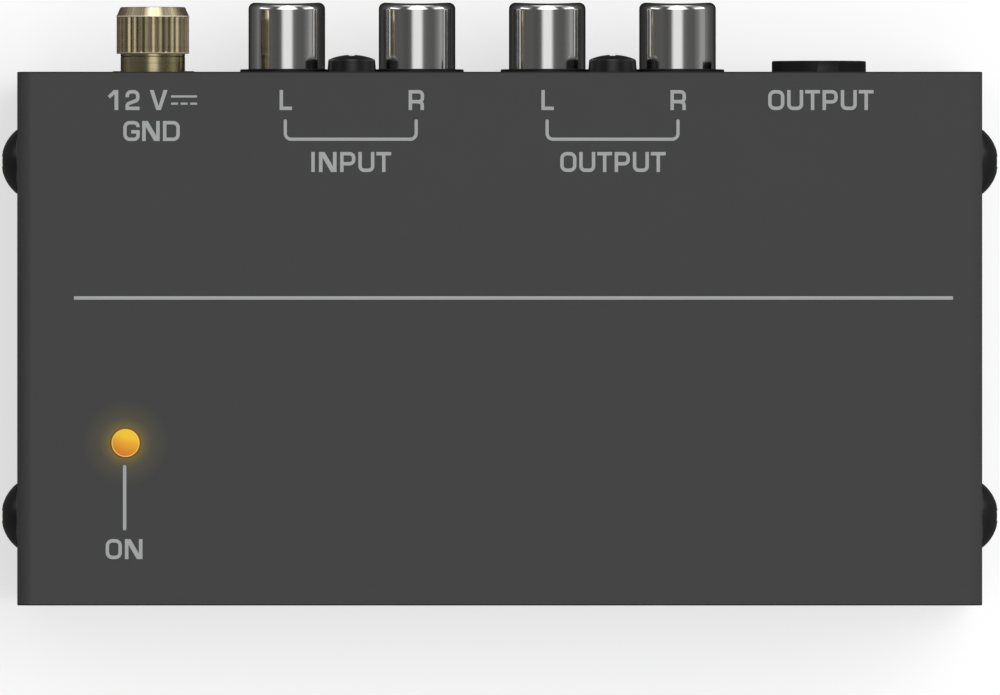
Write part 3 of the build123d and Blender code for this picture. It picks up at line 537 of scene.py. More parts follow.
def edge_shade_group():
    """White along the cut front, rear and lower edges of the folded cover: there the paint is made nearly
    black, a painted shade line along those edges.
    """
    low, high = span("top_cover")
    group, given = open_group("cut_edge_shade", {"Width": 0.0002})
    spot = axes(group, object_place(group))
    depths = (
        calc(group, "SUBTRACT", high.y * MM, spot["Y"]),
        calc(group, "SUBTRACT", spot["Y"], low.y * MM),
        calc(group, "SUBTRACT", spot["Z"], low.z * MM),
    )
    rear, front, lower = (
        remap(group, calc(group, "DIVIDE", depth, given["Width"]), 1.0, 0.4) for depth in depths
    )
    mask = calc(group, "MAXIMUM", calc(group, "MAXIMUM", rear, front), lower)
    return close_group(group, {"Mask": mask})


def lamp_light_group():
    """The lamp's own light: a warm dome with a painted highlight near its rim and a painted dark ring at
    its edge, and a painted glow round it on the cover.
    """
    centre = middle("led_lamp")
    group, given = open_group("lamp_light", {"Radius": LENS_RADIUS * MM})
    from_centre = vector(group, "SUBTRACT", object_place(group), (centre.x * MM, centre.y * MM, 0))
    flat = vector(group, "MULTIPLY", from_centre, (1, 1, 0))
    radii = calc(group, "DIVIDE", vector(group, "LENGTH", flat), given["Radius"])
    spot = axes(group, flat)
    along = calc(group, "MULTIPLY_ADD", spot["X"], LAMP_LEAN, spot["Y"])
    rise = remap(group, calc(group, "DIVIDE", along, given["Radius"]), -1, 1)
    warm_stops = [
        (0.0, (0.56, 0.16, 0.022)),
        (0.22, (0.6, 0.2, 0.024)),
        (0.5, (0.68, 0.34, 0.032)),
        (0.72, (0.78, 0.52, 0.038)),
        (1.0, (0.82, 0.58, 0.04)),
    ]
    # Painted highlight: a bright ring near the lens's rim, stronger on its lower side.
    rim_highlight_stops = [(0.88, 0), (0.915, 1), (0.945, 1), (0.965, 0)]
    # Painted light: a glow on the cover paint that fades out at three lens radii.
    painted_halo_stops = [
        (0.3, (0.12, 0.074, 0)),
        (0.37, (0.1, 0.068, 0)),
        (0.47, (0.056, 0.044, 0)),
        (0.62, (0.022, 0.018, 0)),
        (1.0, 0),
    ]
    rim_highlight_share = calc(
        group, "MULTIPLY", ramp(group, radii, rim_highlight_stops), remap(group, rise, 0, 1, 0.75, 0.25)
    )
    rim_highlit = mix(group, rim_highlight_share, ramp(group, rise, warm_stops), (1.0, 0.82, 0.38, 1))
    # Painted shade: the lens turns dark towards its edge.
    dome = mix(group, remap(group, radii, 0.955, 1), rim_highlit, (0.2, 0.085, 0.01, 1))
    painted_halo = ramp(group, calc(group, "DIVIDE", radii, PAINTED_HALO_REACH), painted_halo_stops)
    return close_group(group, colours={"Dome": dome, "Painted Halo": painted_halo})


MOTTLE = mottle_group()
TURNED_MARKS = turned_marks_group()
SHADE_STRIPES = shade_stripes_group()
WORN_AND_HIGHLIT_EDGE = worn_and_highlit_edge_group()
EDGE_SHADE = edge_shade_group()
LAMP_LIGHT = lamp_light_group()

# ---- finishes: materials
RELIEF_DEPTH = 2e-5
LATHE_STRENGTH = 0.5
FINISHES = {}


def use_group(material, group, inputs=None):
    """Put a shared effect into a material, and give its outputs."""
    return new_node(material.node_tree, "ShaderNodeGroup", inputs, node_tree=group).outputs


def new_material(name):
    """A material with nodes, and its node tree."""
    material = bpy.data.materials.new(name)
    material.use_nodes = True
    return material, material.node_tree


def surface_of(material):
    return material.node_tree.nodes["Principled BSDF"]


def finish(name, tone_a, tone_b, roughness, cloud=60, grain=4000, bump=0.1, **constants):
    """A material of one finish: mottled colour and gloss, and a fine relief."""
    material, tree = new_material(name)
    tones = {"Tone A": opaque(tone_a), "Tone B": opaque(tone_b)}
    gloss = {"Roughness A": roughness[0], "Roughness B": roughness[1]}
    scales = {"Cloud Scale": cloud, "Grain Scale": grain}
    mottle = use_group(material, MOTTLE, {**tones, **gloss, **scales})
    relief = {"Strength": bump, "Distance": RELIEF_DEPTH, "Height": mottle["Height"]}
    normal = new_node(tree, "ShaderNodeBump", relief).outputs["Normal"]
    looks = {"Base Color": mottle["Color"], "Roughness": mottle["Roughness"], "Normal": normal}
    constants = {label.replace("_", " "): value for label, value in constants.items()}
    feed(tree, surface_of(material), {**looks, **constants})
    FINISHES[name] = material
    return material


def tint(material, mask, tone, share):
    """Lay a tone over a finish's colour where a mask is white."""
    tree, surface = material.node_tree, surface_of(material)
    below = surface.inputs["Base Color"].links[0].from_socket
    colour = mix(tree, calc(tree, "MULTIPLY", mask, share), below, opaque(tone))
    feed(tree, surface, {"Base Color": colour})


def wear_and_highlight(material, tone, share, start=0.53, full=0.62):
    """Lay another tone on a finish's outer edges, as if rubbed through; on the knurled brass it is also a
    painted highlight.
    """
    edge = use_group(material, WORN_AND_HIGHLIT_EDGE, {"Edge Start": start, "Edge Full": full})
    tint(material, edge["Mask"], tone, share)


def lathe(material, height, tone=None, share=0.0):
    """Add the lathe's rings to a turned part's relief, and to its colour."""
    tree, surface = material.node_tree, surface_of(material)
    marks = use_group(material, TURNED_MARKS)
    below = surface.inputs["Normal"].links[0].from_socket
    relief = {"Strength": LATHE_STRENGTH, "Distance": height, "Height": marks["Height"]}
    normal = new_node(tree, "ShaderNodeBump", {**relief, "Normal": below}).outputs["Normal"]
    feed(tree, surface, {"Normal": normal})
    if tone:
        tint(material, marks["Mask"], tone, share)


def light_up(material, output, strength):
    """Give a surface the lamp's light as emission: the lens's own glow, and on the cover paint a painted
    glow.
    """
    light = use_group(material, LAMP_LIGHT)[output]
    inputs = {"Emission Strength": strength, "Emission Color": light}
    feed(material.node_tree, surface_of(material), inputs)


PAINTED = {"grain": 5200, "bump": 0.35, "Specular_IOR_Level": 0.25}
PAINT_TONE = (0.053, 0.053, 0.0535)
METAL = {"Metallic": 1.0}
# Painted shade: a dark edge tint dims the metal's reflections towards its outlines, giving the plated
# barrels and the brass dark outlines.
DARK_EDGED_METAL = {"Metallic": 1.0, "Specular_Tint": (0.22, 0.21, 0.2, 1)}

paint = finish("cover_paint", (0.047, 0.047, 0.0475), PAINT_TONE, (0.44, 0.54), **PAINTED)
# Painted shade: the cover paint goes nearly black along its cut edges.
tint(paint, use_group(paint, EDGE_SHADE)["Mask"], 0.006, 0.85)
# Painted light: the lamp's glow laid on the cover paint as emission.
light_up(paint, "Painted Halo", 1.0)
finish("chassis_paint", (0.045, 0.045, 0.0455), PAINT_TONE, (0.46, 0.58), **PAINTED)

rubber = finish("foot_rubber", 0.01, (0.02, 0.02, 0.019), (0.7, 0.85), bump=0.5)
wear_and_highlight(rubber, (0.05, 0.05, 0.048), 0.5)

MATT_BLACK = ((0.005, 0.005, 0.006), (0.009, 0.009, 0.01))
finish("black_moulding", *MATT_BLACK, (0.38, 0.52), cloud=200, bump=0.3, Specular_IOR_Level=0.25)
black_steel = finish("black_screw", *MATT_BLACK, (0.27, 0.36), cloud=400, bump=0.08, Specular_IOR_Level=0.4)
wear_and_highlight(black_steel, (0.045, 0.045, 0.047), 0.4, 0.56, 0.7)

BRASS_TONES = ((0.55, 0.485, 0.275), (0.59, 0.52, 0.3))
brass = finish("brass", *BRASS_TONES, (0.2, 0.23), cloud=300, bump=0.012, **DARK_EDGED_METAL)
lathe(brass, 1.5e-6, (0.34, 0.28, 0.17), 0.35)

KNURL_TONES = ((0.72, 0.62, 0.4), (0.84, 0.73, 0.48))
knurled = finish("knurled_brass", *KNURL_TONES, (0.24, 0.32), cloud=300, bump=0.04, **DARK_EDGED_METAL)
lathe(knurled, 8e-7, (0.42, 0.35, 0.22), 0.25)
# Painted light and shade on the knurl: darker stripes, painted shade in the groove roots, and a painted
# highlight on each lip with less metal under it.
knurl_shade = use_group(knurled, SHADE_STRIPES, {"Stripes": 14.0})
tint(knurled, knurl_shade["Mask"], (0.36, 0.28, 0.15), 0.55)
tint(knurled, knurl_shade["Groove Shade"], (0.16, 0.115, 0.055), 0.75)
tint(knurled, knurl_shade["Lip Highlight"], (0.9, 0.84, 0.66), 0.9)
feed(knurled.node_tree, surface_of(knurled), {"Metallic": knurl_shade["Metal"]})
# Pale outer edges of the knurl: partly rubbed brass, partly a painted highlight.
wear_and_highlight(knurled, (0.92, 0.86, 0.7), 0.5, 0.54, 0.62)

NICKEL_TONES = ((0.74, 0.735, 0.725), (0.8, 0.795, 0.785))
nickel = finish("barrel_nickel", *NICKEL_TONES, (0.07, 0.12), cloud=260, bump=0.04, **DARK_EDGED_METAL)
lathe(nickel, 4e-7)

AMBER_TONES = ((0.2, 0.085, 0.006), (0.25, 0.115, 0.01))
lens = finish("lamp_lens", *AMBER_TONES, (0.5, 0.6), cloud=300, bump=0.02, Specular_IOR_Level=0.15)
light_up(lens, "Dome", 0.85)

finish("plated_steel", (0.58, 0.58, 0.56), (0.7, 0.7, 0.68), (0.25, 0.4), cloud=250, **METAL)
finish("contact_plate", (0.5, 0.48, 0.44), (0.58, 0.56, 0.52), (0.22, 0.3), cloud=150, bump=0.03, **METAL)
finish("spring_metal", (0.6, 0.56, 0.48), (0.72, 0.68, 0.6), (0.22, 0.36), cloud=500, **METAL)
finish("white_insulator", (0.7, 0.7, 0.68), (0.8, 0.8, 0.78), (0.35, 0.5), bump=0.2)
finish("red_insulator", (0.45, 0.02, 0.018), (0.6, 0.035, 0.028), (0.35, 0.5), bump=0.2)
finish("board_laminate", (0.016, 0.075, 0.03), (0.036, 0.13, 0.055), (0.3, 0.5), cloud=350)
finish("spacer_nylon", (0.62, 0.61, 0.57), (0.72, 0.71, 0.67), (0.45, 0.6), bump=0.2)
finish("can_sleeve", (0.012, 0.016, 0.042), (0.024, 0.03, 0.075), (0.25, 0.4))
finish("film_case", (0.34, 0.03, 0.02), (0.48, 0.058, 0.036), (0.35, 0.5), bump=0.2)
finish("chip_moulding", 0.012, 0.024, (0.5, 0.65), bump=0.3)
finish("resistor_coat", (0.09, 0.3, 0.4), (0.15, 0.41, 0.52), (0.35, 0.5), cloud=500)
finish("wire_sleeve", (0.022, 0.19, 0.042), (0.042, 0.28, 0.068), (0.4, 0.55), cloud=300)
finish("printed_ink", (0.36, 0.37, 0.37), (0.4, 0.41, 0.41), (0.5, 0.6), cloud=500, grain=9000, bump=0.15)


# ---- pieces
def model_cover():
    """Folded cover: a bent sheet open at the front, rear and bottom."""
    low, high = span("top_cover")
    size = high - low
    bpy.ops.mesh.primitive_cube_add(size=1, location=(low + high) / 2, scale=size)
    cover = bpy.context.object
    cover.name = "cover_shell"
    set_in_mesh(cover)

    def on_top(edge):
        return all(v.co.z > high.z - MERGE_GAP for v in edge.verts) and not edge.is_boundary

    def across_a_lower_edge(edge):
        first, second = edge.verts
        at_base = all(v.co.z < low.z + MERGE_GAP for v in edge.verts)
        return at_base and abs(first.co.x - second.co.x) > SHEET / 2

    open_edit(cover)
    pick(cover, "FACE", lambda face: abs(face.normal.y) > 0.5 or face.normal.z < -0.5)
    bpy.ops.mesh.delete(type="FACE")
    pick(cover, "EDGE", on_top)
    bpy.ops.mesh.bevel(offset=BEND_OUTSIDE, segments=BEND_FACETS, affect="EDGES")
    close_edit()
    apply_modifier(cover, "SOLIDIFY", thickness=SHEET, offset=-1, use_even_offset=True)
    open_edit(cover)
    pick(cover, "EDGE", across_a_lower_edge)
    bpy.ops.mesh.bevel(offset=WALL_CORNER, segments=CORNER_FACETS, affect="EDGES")
    close_edit()
    lamp = middle("led_lamp")
    sideways = (0, QUARTER_TURN, 0)
    holes = [cylinder(96, LAMP_HOLE, 4 * SHEET, (lamp.x, lamp.y, high.z))]
    for end in ("front", "rear"):
        screw = middle(f"cover_screw_{end}_left")
        holes.append(cylinder(48, SCREW_HOLE, 2 * size.x, (0, screw.y, screw.z), sideways))
    carve(cover, holes)
    soften(cover, EDGE_SOFTNESS)
    return cover


def cut_cross(head, across, wing, top):
    """Sink a driver's cross into a head that points along Z."""
    for turn in (0, QUARTER_TURN):
        bpy.ops.mesh.primitive_cube_add(
            size=1,
            location=(0, 0, top - CROSS_DEPTH / 2 + CUT_SPARE),
            rotation=(0, 0, turn),
            scale=(across, wing, CROSS_DEPTH + 2 * CUT_SPARE),
        )
        cutter = bpy.context.object
        set_in_mesh(cutter)
        open_edit(cutter)
        pick(cutter, "FACE", lambda face: face.normal.z < -0.5)
        taper = CROSS_FLOOR / across
        stretch = (taper, 1, 1) if turn == 0 else (1, taper, 1)
        bpy.ops.transform.resize(value=stretch, center_override=(0, 0, top - CROSS_DEPTH))
        close_edit()
        carve(head, [cutter])
    smooth(head)
    return head


def shank(length):
    """Outline of a threaded shank below its head, from the tip up: a ridge for each turn."""
    depth = THREAD_PITCH / 3
    points = [(0, -length), (SHANK_RADIUS - depth, -length)]
    for turn in range(int(length / THREAD_PITCH)):
        base = -length + turn * THREAD_PITCH
        points.append((SHANK_RADIUS, base + THREAD_PITCH / 2))
        points.append((SHANK_RADIUS - depth, base + THREAD_PITCH))
    return points + [(SHANK_RADIUS, 0)]


def dome_radius(radius, rise):
    """Radius of the ball whose cap has a radius and a rise."""
    return (radius**2 + rise**2) / (2 * rise)


def model_truss_screw():
    ball = dome_radius(TRUSS_RADIUS, TRUSS_HEIGHT - TRUSS_RIM)
    inset, height = TRUSS_FOOT
    outline = shank(TRUSS_SHANK) + [(TRUSS_RADIUS - inset, 0), (TRUSS_RADIUS, height)]
    for step in range(TRUSS_STEPS + 1):
        angle = math.asin(TRUSS_RADIUS / ball) * (1 - step / TRUSS_STEPS)
        outline.append((ball * math.sin(angle), TRUSS_HEIGHT - ball + ball * math.cos(angle)))
    return cut_cross(turned("truss_screw", outline), *TRUSS_CROSS, TRUSS_HEIGHT)


def model_pan_screw():
    radius, shoulder = PAN_SHOULDER
    ball = dome_radius(radius, PAN_HEIGHT - shoulder)
    crown = [(PAN_RADIUS, PAN_FLANK)]
    for step in range(PAN_STEPS + 1):
        across = radius * (1 - step / PAN_STEPS)
        crown.append((across, PAN_HEIGHT - ball + math.sqrt(ball**2 - across**2)))
    crown[1] = (*crown[1], PAN_ROUND)
    outline = shank(PAN_SHANK) + [(PAN_RADIUS, 0)] + crown
    return cut_cross(turned("pan_screw", outline, arc_steps=4), *PAN_CROSS, PAN_HEIGHT)


def model_barrel():
    """Plated barrel along Z: its rim is rounded and dips a little across the middle."""
    length = BARREL_END - span("phono_input_left_barrel")[0].y
    outline = [
        (BARREL_BORE, 0),
        (BARREL_ROOT, 0),
        (BARREL_ROOT, BARREL_SUNK),
        (BARREL_RADIUS, BARREL_SUNK, BARREL_STEP),
        (BARREL_RADIUS, length, BARREL_RIM),
        (BARREL_BORE, length, BARREL_LIP),
    ]
    barrel = turned("barrel", outline, closed=True, arc_steps=12, steps=128)
    open_edit(barrel)
    for column in {round(abs(vertex.co.x), 3) for vertex in barrel.data.vertices}:
        share = 1 - min(1, column / BARREL_RADIUS) ** 2
        pick(
            barrel,
            "VERT",
            lambda vertex: round(abs(vertex.co.x), 3) == column
            and vertex.co.z > length - 2 * BARREL_RIM,
        )
        bpy.ops.transform.translate(value=(0, 0, -BARREL_DIP * share))
    close_edit()
    return barrel


def model_insulator():
    low, high = span("phono_input_left_insulator")
    length = high.y - low.y
    inside = CONTACT_BORE + CONTACT_WALL
    outside = BARREL_BORE - INSULATOR_PLAY
    outline = [
        (inside, 0),
        (outside, 0),
        (outside, length, INSULATOR_EDGE),
        (INSULATOR_MOUTH, length, INSULATOR_EDGE),
        (INSULATOR_MOUTH, length - INSULATOR_RECESS),
        (inside, length - INSULATOR_RECESS),
    ]
    return turned("insulator", outline, closed=True)


def model_thumb_nut():
    """Knurled nut along Z between two thin lips, with a long bevel at its outer end."""
    low, high = span("ground_thumb_nut")
    length = high.y - low.y
    knurl_end = length - NUT_BEVEL_LENGTH
    crest = NUT_LIP - KNURL_INSET
    bands = (NUT_LIP_WIDTH, knurl_end - NUT_LIP_WIDTH)
    round_in, round_up = NUT_LIP_ROUND
    foot_in, foot_down = NUT_BEVEL_FOOT
    top_in, top_down = NUT_TOP_ROUND
    outline = [
        (NUT_BORE, NUT_MOUTH),
        (NUT_BORE + NUT_MOUTH, 0),
        (NUT_LIP - round_in, 0),
        (NUT_LIP - round_up, round_in),
        (NUT_LIP, bands[0] - NUT_LIP_SLOPE),
        (crest, bands[0]),
        (crest, bands[0] + KNURL_RUNOUT),
        (crest, bands[1] - KNURL_RUNOUT),
        (crest, bands[1]),
        (NUT_LIP, bands[1] + NUT_LIP_SLOPE),
        (NUT_LIP, knurl_end - foot_down),
        (NUT_LIP - foot_in, knurl_end + NUT_LIP_SLOPE),
        (NUT_TOP, length - top_down),
        (NUT_TOP - top_in, length),
        (NUT_BORE + NUT_DISH, length),
        (NUT_BORE, length - NUT_DISH),
    ]
    columns = KNURL_TEETH * len(KNURL_PROFILE)
    nut = turned("thumb_nut", outline, closed=True, steps=columns)

    def knurl_share(vertex):
        """How deep a vertex of the knurled band lies, as a share of the groove's depth."""
        if not bands[0] + KNURL_RUNOUT / 2 < vertex.co.z < bands[1] - KNURL_RUNOUT / 2:
            return 0
        column = round(math.atan2(vertex.co.y, vertex.co.x) / FULL_TURN * columns)
        return KNURL_PROFILE[column % len(KNURL_PROFILE)]

    open_edit(nut)
    for share in (0.5, 1):
        pick(
            nut,
            "VERT",
            lambda vertex: abs(vertex.co.xy.length - crest) < MERGE_GAP
            and knurl_share(vertex) == share,
        )
        squeeze = 1 - share * KNURL_DEPTH / crest
        bpy.ops.transform.resize(value=(squeeze, squeeze, 1), center_override=(0, 0, 0))
    close_edit()
    smooth(nut, 25)
    return nut


def model_ground_post():
    """Turned post along Z: a threaded stud with a round collar, and a thread to its end."""
    low, high = span("ground_post")
    length = high.y - low.y
    collar_start = span("top_cover")[1].y - COLLAR_SUNK - low.y
    collar_end = span("ground_washer")[0].y - low.y
    points = [
        (0, 0),
        (STUD_RADIUS - STUD_CHAMFER, 0),
        (STUD_RADIUS, STUD_CHAMFER),
        (STUD_RADIUS, collar_start),
        (COLLAR_RADIUS, collar_start),
        (COLLAR_RADIUS, collar_end - COLLAR_EDGE),
        (COLLAR_RADIUS - COLLAR_EDGE, collar_end),
        (STUD_RADIUS, collar_end),
    ]
    groove = collar_end + THREAD_PITCH
    while groove < length - STUD_PLAIN_END:
        points.append((STUD_RADIUS, groove - THREAD_PITCH / 2))
        points.append((STUD_RADIUS - STUD_THREAD, groove))
        groove += THREAD_PITCH
    points += [(STUD_RADIUS, length - STUD_CHAMFER), (STUD_RADIUS - STUD_CHAMFER, length), (0, length)]
    return turned("ground_terminal", points)


def model_washer():
    low, high = span("ground_washer")
    length = high.y - low.y
    outline = [
        (WASHER_BORE, 0),
        (COLLAR_RADIUS, 0, WASHER_EDGE),
        (COLLAR_RADIUS, length, WASHER_EDGE),
        (WASHER_BORE, length),
    ]
    return turned("washer", outline, closed=True, arc_steps=3)


def model_lamp():
    """Domed lens with a flange at its foot."""
    low, high = span("led_lamp")
    dome_base = high.z - low.z - LENS_RADIUS
    outline = [(0, 0), (LENS_FLANGE, 0), (LENS_FLANGE, FLANGE_HEIGHT), (LENS_RADIUS, FLANGE_HEIGHT)]
    for step in range(LENS_STEPS + 1):
        angle = QUARTER_TURN * step / LENS_STEPS
        outline.append((LENS_RADIUS * math.cos(angle), dome_base + LENS_RADIUS * math.sin(angle)))
    return turned("lamp", outline)


def model_foot():
    low, high = span("rubber_foot_front_left")
    radius = (high.x - low.x) / 2
    height = high.z - low.z
    outline = [
        (0, 0),
        (radius - FOOT_CHAMFER, 0, FOOT_ROUND),
        (radius, FOOT_CHAMFER, FOOT_ROUND),
        (radius, height, FOOT_TOP_ROUND),
        (0, height),
    ]
    return turned("foot", outline)


def copy_node(node, name):
    """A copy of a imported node's mesh in millimetres, with its seams closed."""
    piece = clone(frame["nodes"][node], name)
    piece.hide_render = False
    piece.scale = [value / MM for value in piece.scale]
    set_in_mesh(piece)
    open_edit(piece)
    weld()
    bpy.ops.mesh.dissolve_limited(angle_limit=math.radians(1))
    close_edit()
    return piece


def model_jack():
    """The jack's housing, with a nearly square edge on the end of its snout."""
    jack = copy_node("jack_socket", "jack_housing")
    end = span("jack_socket")[1].y
    centre_x = middle("jack_socket").x
    centre_z = middle("phono_input_left_barrel").z
    near_y, near_radius = SNOUT_NEAR

    def reach(vertex):
        return math.hypot(vertex.co.x - centre_x, vertex.co.z - centre_z)

    open_edit(jack)
    mesh = bmesh.from_edit_mesh(jack.data)
    outer = max(reach(v) for v in mesh.verts if v.co.y > end - SNOUT_LENGTH)
    rim = max(reach(v) for v in mesh.verts if v.co.y > end - MERGE_GAP)
    bevel = outer - rim
    pick(jack, "VERT", lambda v: v.co.y > end - MERGE_GAP and reach(v) > rim - MERGE_GAP)
    grow = (outer - SNOUT_EDGE) / rim
    bpy.ops.transform.resize(value=(grow, 1, grow), center_override=(centre_x, end, centre_z))
    pick(
        jack,
        "VERT",
        lambda v: abs(v.co.y - end + bevel) < near_y and abs(reach(v) - outer) < near_radius,
    )
    bpy.ops.transform.translate(value=(0, bevel - SNOUT_EDGE, 0))
    close_edit()
    smooth(jack)
    return jack


# ---- printed marks
# Each letter or figure is (space before, width, space after, paths) as shares of the cap height,
# with H for half a stroke. Its paths are open lines with a radius at each round corner, one closed
# loop of that kind, or the outline of a plate.
H = STROKE / CAP_HEIGHT / 2
TOP = 1 - H
WORD_SPACE = 0.4
LOOPS, PLATES = "OD", "1NV"
GLYPHS = {
    "I": (0.08, 2 * H, 0.13, [[(H, 0), (H, 1)]]),
    "L": (0.08, 0.62, 0.03, [[(H, 1), (H, H), (0.62, H)]]),
    "T": (0.03, 0.74, 0.03, [[(0, TOP), (0.74, TOP)], [(0.37, TOP), (0.37, 0)]]),
    "U": (0.07, 0.8, 0.07, [[(H, 1), (H, H, 0.2), (0.8 - H, H, 0.2), (0.8 - H, 1)]]),
    "P": (0.1, 0.76, 0.08, [
        [(H, 0), (H, TOP), (0.76 - H, TOP, 0.2), (0.76 - H, 0.41, 0.2), (2 * H, 0.41)],
    ]),
    "R": (0.08, 0.775, 0.06, [
        [(H, 0), (H, TOP), (0.775 - H, TOP, 0.18), (0.775 - H, 0.42, 0.18), (2 * H, 0.42)],
        [(0.4, 0.42), (0.765 - H, 0.38, 0.16), (0.765 - H, 0)],
    ]),
    "G": (0.07, 0.825, 0.04, [[
        (0.825 - H, 0.69), (0.825 - H, TOP, 0.2), (H, TOP, 0.24), (H, H, 0.24),
        (0.825 - H, H, 0.2), (0.825 - H, 0.46), (0.4, 0.46),
    ]]),
    "2": (0.1, 0.7, 0.08, [[
        (H, 0.64), (H, TOP, 0.2), (0.7 - H, TOP, 0.2), (0.7 - H, 0.5, 0.16),
        (H, 0.3, 0.14), (H, H), (0.7, H),
    ]]),
    "O": (0.07, 0.81, 0.07, [[
        (H, H, 0.24), (0.81 - H, H, 0.24), (0.81 - H, TOP, 0.24), (H, TOP, 0.24),
    ]]),
    "D": (0.08, 0.84, 0.07, [[(H, H), (0.84 - H, H, 0.24), (0.84 - H, TOP, 0.24), (H, TOP)]]),
    "1": (0.05, 0.53, 0.26, [[
        (0.34, 0), (0.53, 0), (0.53, 1), (0.3, 1), (0, 0.7), (0.12, 0.58), (0.34, 0.79),
    ]]),
    "N": (0.08, 0.88, 0.08, [[
        (0, 0), (0.18, 0), (0.18, 0.72), (0.6, 0), (0.88, 0),
        (0.88, 1), (0.7, 1), (0.7, 0.28), (0.28, 1), (0, 1),
    ]]),
    "V": (0.03, 0.89, 0.03, [[
        (0, 1), (0.2, 1), (0.445, 0.2), (0.69, 1), (0.89, 1), (0.56, 0), (0.33, 0),
    ]]),
}
# The sign of direct current, as (start, end, height as a share of the cap height).
DIRECT_CURRENT = ((0, 2.8, 0.68), (0, 0.74, 0.32), (1.03, 1.77, 0.32), (2.06, 2.8, 0.32))


def ink_on(name, corners, closed, filled):
    """Ink of one height on a path of corners: a low wall, or the whole shape inside it."""
    ink = chain(name, [(x, y, 0) for x, y in rounded(corners, closed)])
    weld()
    rise = {"value": (0, 0, INK + INK_SUNK)}
    if filled:
        bpy.ops.mesh.edge_face_add()
        bpy.ops.mesh.extrude_region_move(TRANSFORM_OT_translate=rise)
    else:
        bpy.ops.mesh.extrude_edges_move(TRANSFORM_OT_translate=rise)
    weld()
    close_edit()
    return ink


def stroke(name, corners, width, closed=False, round_ends=False):
    """A printed line along a path, as wide as the stroke."""
    line = ink_on(name, corners, closed, filled=False)
    apply_modifier(line, "SOLIDIFY", thickness=width, offset=0, use_even_offset=True)
    if round_ends:
        depth = INK + INK_SUNK
        ends = [cylinder(24, width / 2, depth, (*end, depth / 2)) for end in (corners[0], corners[-1])]
        carve(line, ends, "UNION")
    return line


def model_glyph(letter):
    """One letter or figure with its lower left corner at the origin, and its three widths."""
    before, width, after, paths = GLYPHS[letter]
    paths = [[tuple(value * CAP_HEIGHT for value in corner) for corner in path] for path in paths]
    if letter in PLATES:
        glyph = ink_on(letter, paths[0], closed=True, filled=True)
    else:
        glyph, *more = [stroke(letter, path, STROKE, letter in LOOPS) for path in paths]
        for line in more:
            carve(glyph, [line], "UNION")
    return glyph, before * CAP_HEIGHT, width * CAP_HEIGHT, after * CAP_HEIGHT


def print_word(name, word, centre_x, base_y, level):
    """A word in capitals centred on centre_x, with its base at base_y, and where it ends."""
    placed, pen = [], 0
    for letter in word:
        if letter == " ":
            pen += WORD_SPACE * CAP_HEIGHT
            continue
        glyph, before, width, after = GLYPH_STOCK[letter]
        placed.append((clone(glyph, letter), pen + before))
        pen += before + width + after
    for glyph, left in placed:
        place(glyph, (centre_x - pen / 2 + left, base_y, level))
    return join([glyph for glyph, left in placed], name), centre_x + pen / 2


def print_marks():
    """The connectors' names, the brackets under the phono pairs, the rule and the lamp's line."""
    low, high = span("top_cover")
    level = high.z - INK_SUNK
    rows = [high.y - FIRST_ROW_INSET - row * ROW_PITCH for row in range(3)]
    power = middle("power_socket").x + PRINT_SHIFT
    jack = middle("jack_socket").x
    lamp = middle("led_lamp").x + LAMP_PRINT_SHIFT
    volts, volts_end = print_word("print_12_volt", "12 V", power + VOLTS_SHIFT, rows[0], level)
    marks = [volts]
    for start, end, share in DIRECT_CURRENT:
        dash = stroke("print_direct_current", [(start, 0), (end, 0)], THIN_STROKE)
        height = rows[0] + CAP_HEIGHT * share
        marks.append(place(dash, (volts_end + DIRECT_GAP, height, level)))
    marks = [join(marks, "print_12_volt_direct")]

    words = [
        ("print_ground", "GND", power, rows[1]),
        ("print_jack_output", "OUTPUT", jack, rows[0]),
        ("print_on", "ON", lamp + LAMP_WORD[0], LAMP_WORD[1]),
    ]
    rule_y = high.y - RULE_INSET
    lines = [
        ("print_rule", [(end, rule_y) for end in RULE_ENDS], STROKE, False),
        ("print_lamp_line", [(lamp, end) for end in LAMP_LINE], STROKE, True),
    ]
    for pair in ("input", "output"):
        left, right = (middle(f"phono_{pair}_{side}_barrel").x + PRINT_SHIFT for side in ("left", "right"))
        words.append((f"print_{pair}_left", "L", left, rows[0]))
        words.append((f"print_{pair}_right", "R", right, rows[0]))
        words.append((f"print_{pair}", pair.upper(), (left + right) / 2, rows[2]))
        top_y = high.y - BRACKET_TOP_INSET
        base_y = high.y - BRACKET_BASE_INSET
        corners = [(left, base_y, BRACKET_CORNER), (right, base_y, BRACKET_CORNER)]
        bracket = [(left, top_y), *corners, (right, top_y)]
        lines.append((f"print_{pair}_bracket", bracket, BRACKET_STROKE, True))
    marks += [print_word(*word, level)[0] for word in words]
    for name, corners, width, round_ends in lines:
        line = stroke(name, corners, width, round_ends=round_ends)
        marks.append(place(line, (0, 0, level)))
    for mark in marks:
        settle(mark, "preamp", "printed_ink")


# ---- the object
settle(model_cover(), "preamp", "cover_paint", ["top_cover"])

GLYPH_STOCK = {letter: model_glyph(letter) for letter in GLYPHS}
print_marks()
for glyph, before, width, after in GLYPH_STOCK.values():
    discard(glyph)

truss = model_truss_screw()
foot = model_foot()
for end in ("front", "rear"):
    for side, direction in (("left", -1), ("right", 1)):
        node = f"cover_screw_{end}_{side}"
        spot = middle(node)
        screw = clone(truss, f"case_screw_{end}_{side}")
        place(screw, (direction * span("top_cover")[1].x, spot.y, spot.z), (direction, 0, 0))
        settle(screw, "preamp", "black_screw", [node])
        node = f"rubber_foot_{end}_{side}"
        spot = middle(node)
        pad = place(clone(foot, f"foot_{end}_{side}"), (spot.x, spot.y, 0))
        settle(pad, "preamp", "foot_rubber", [node])

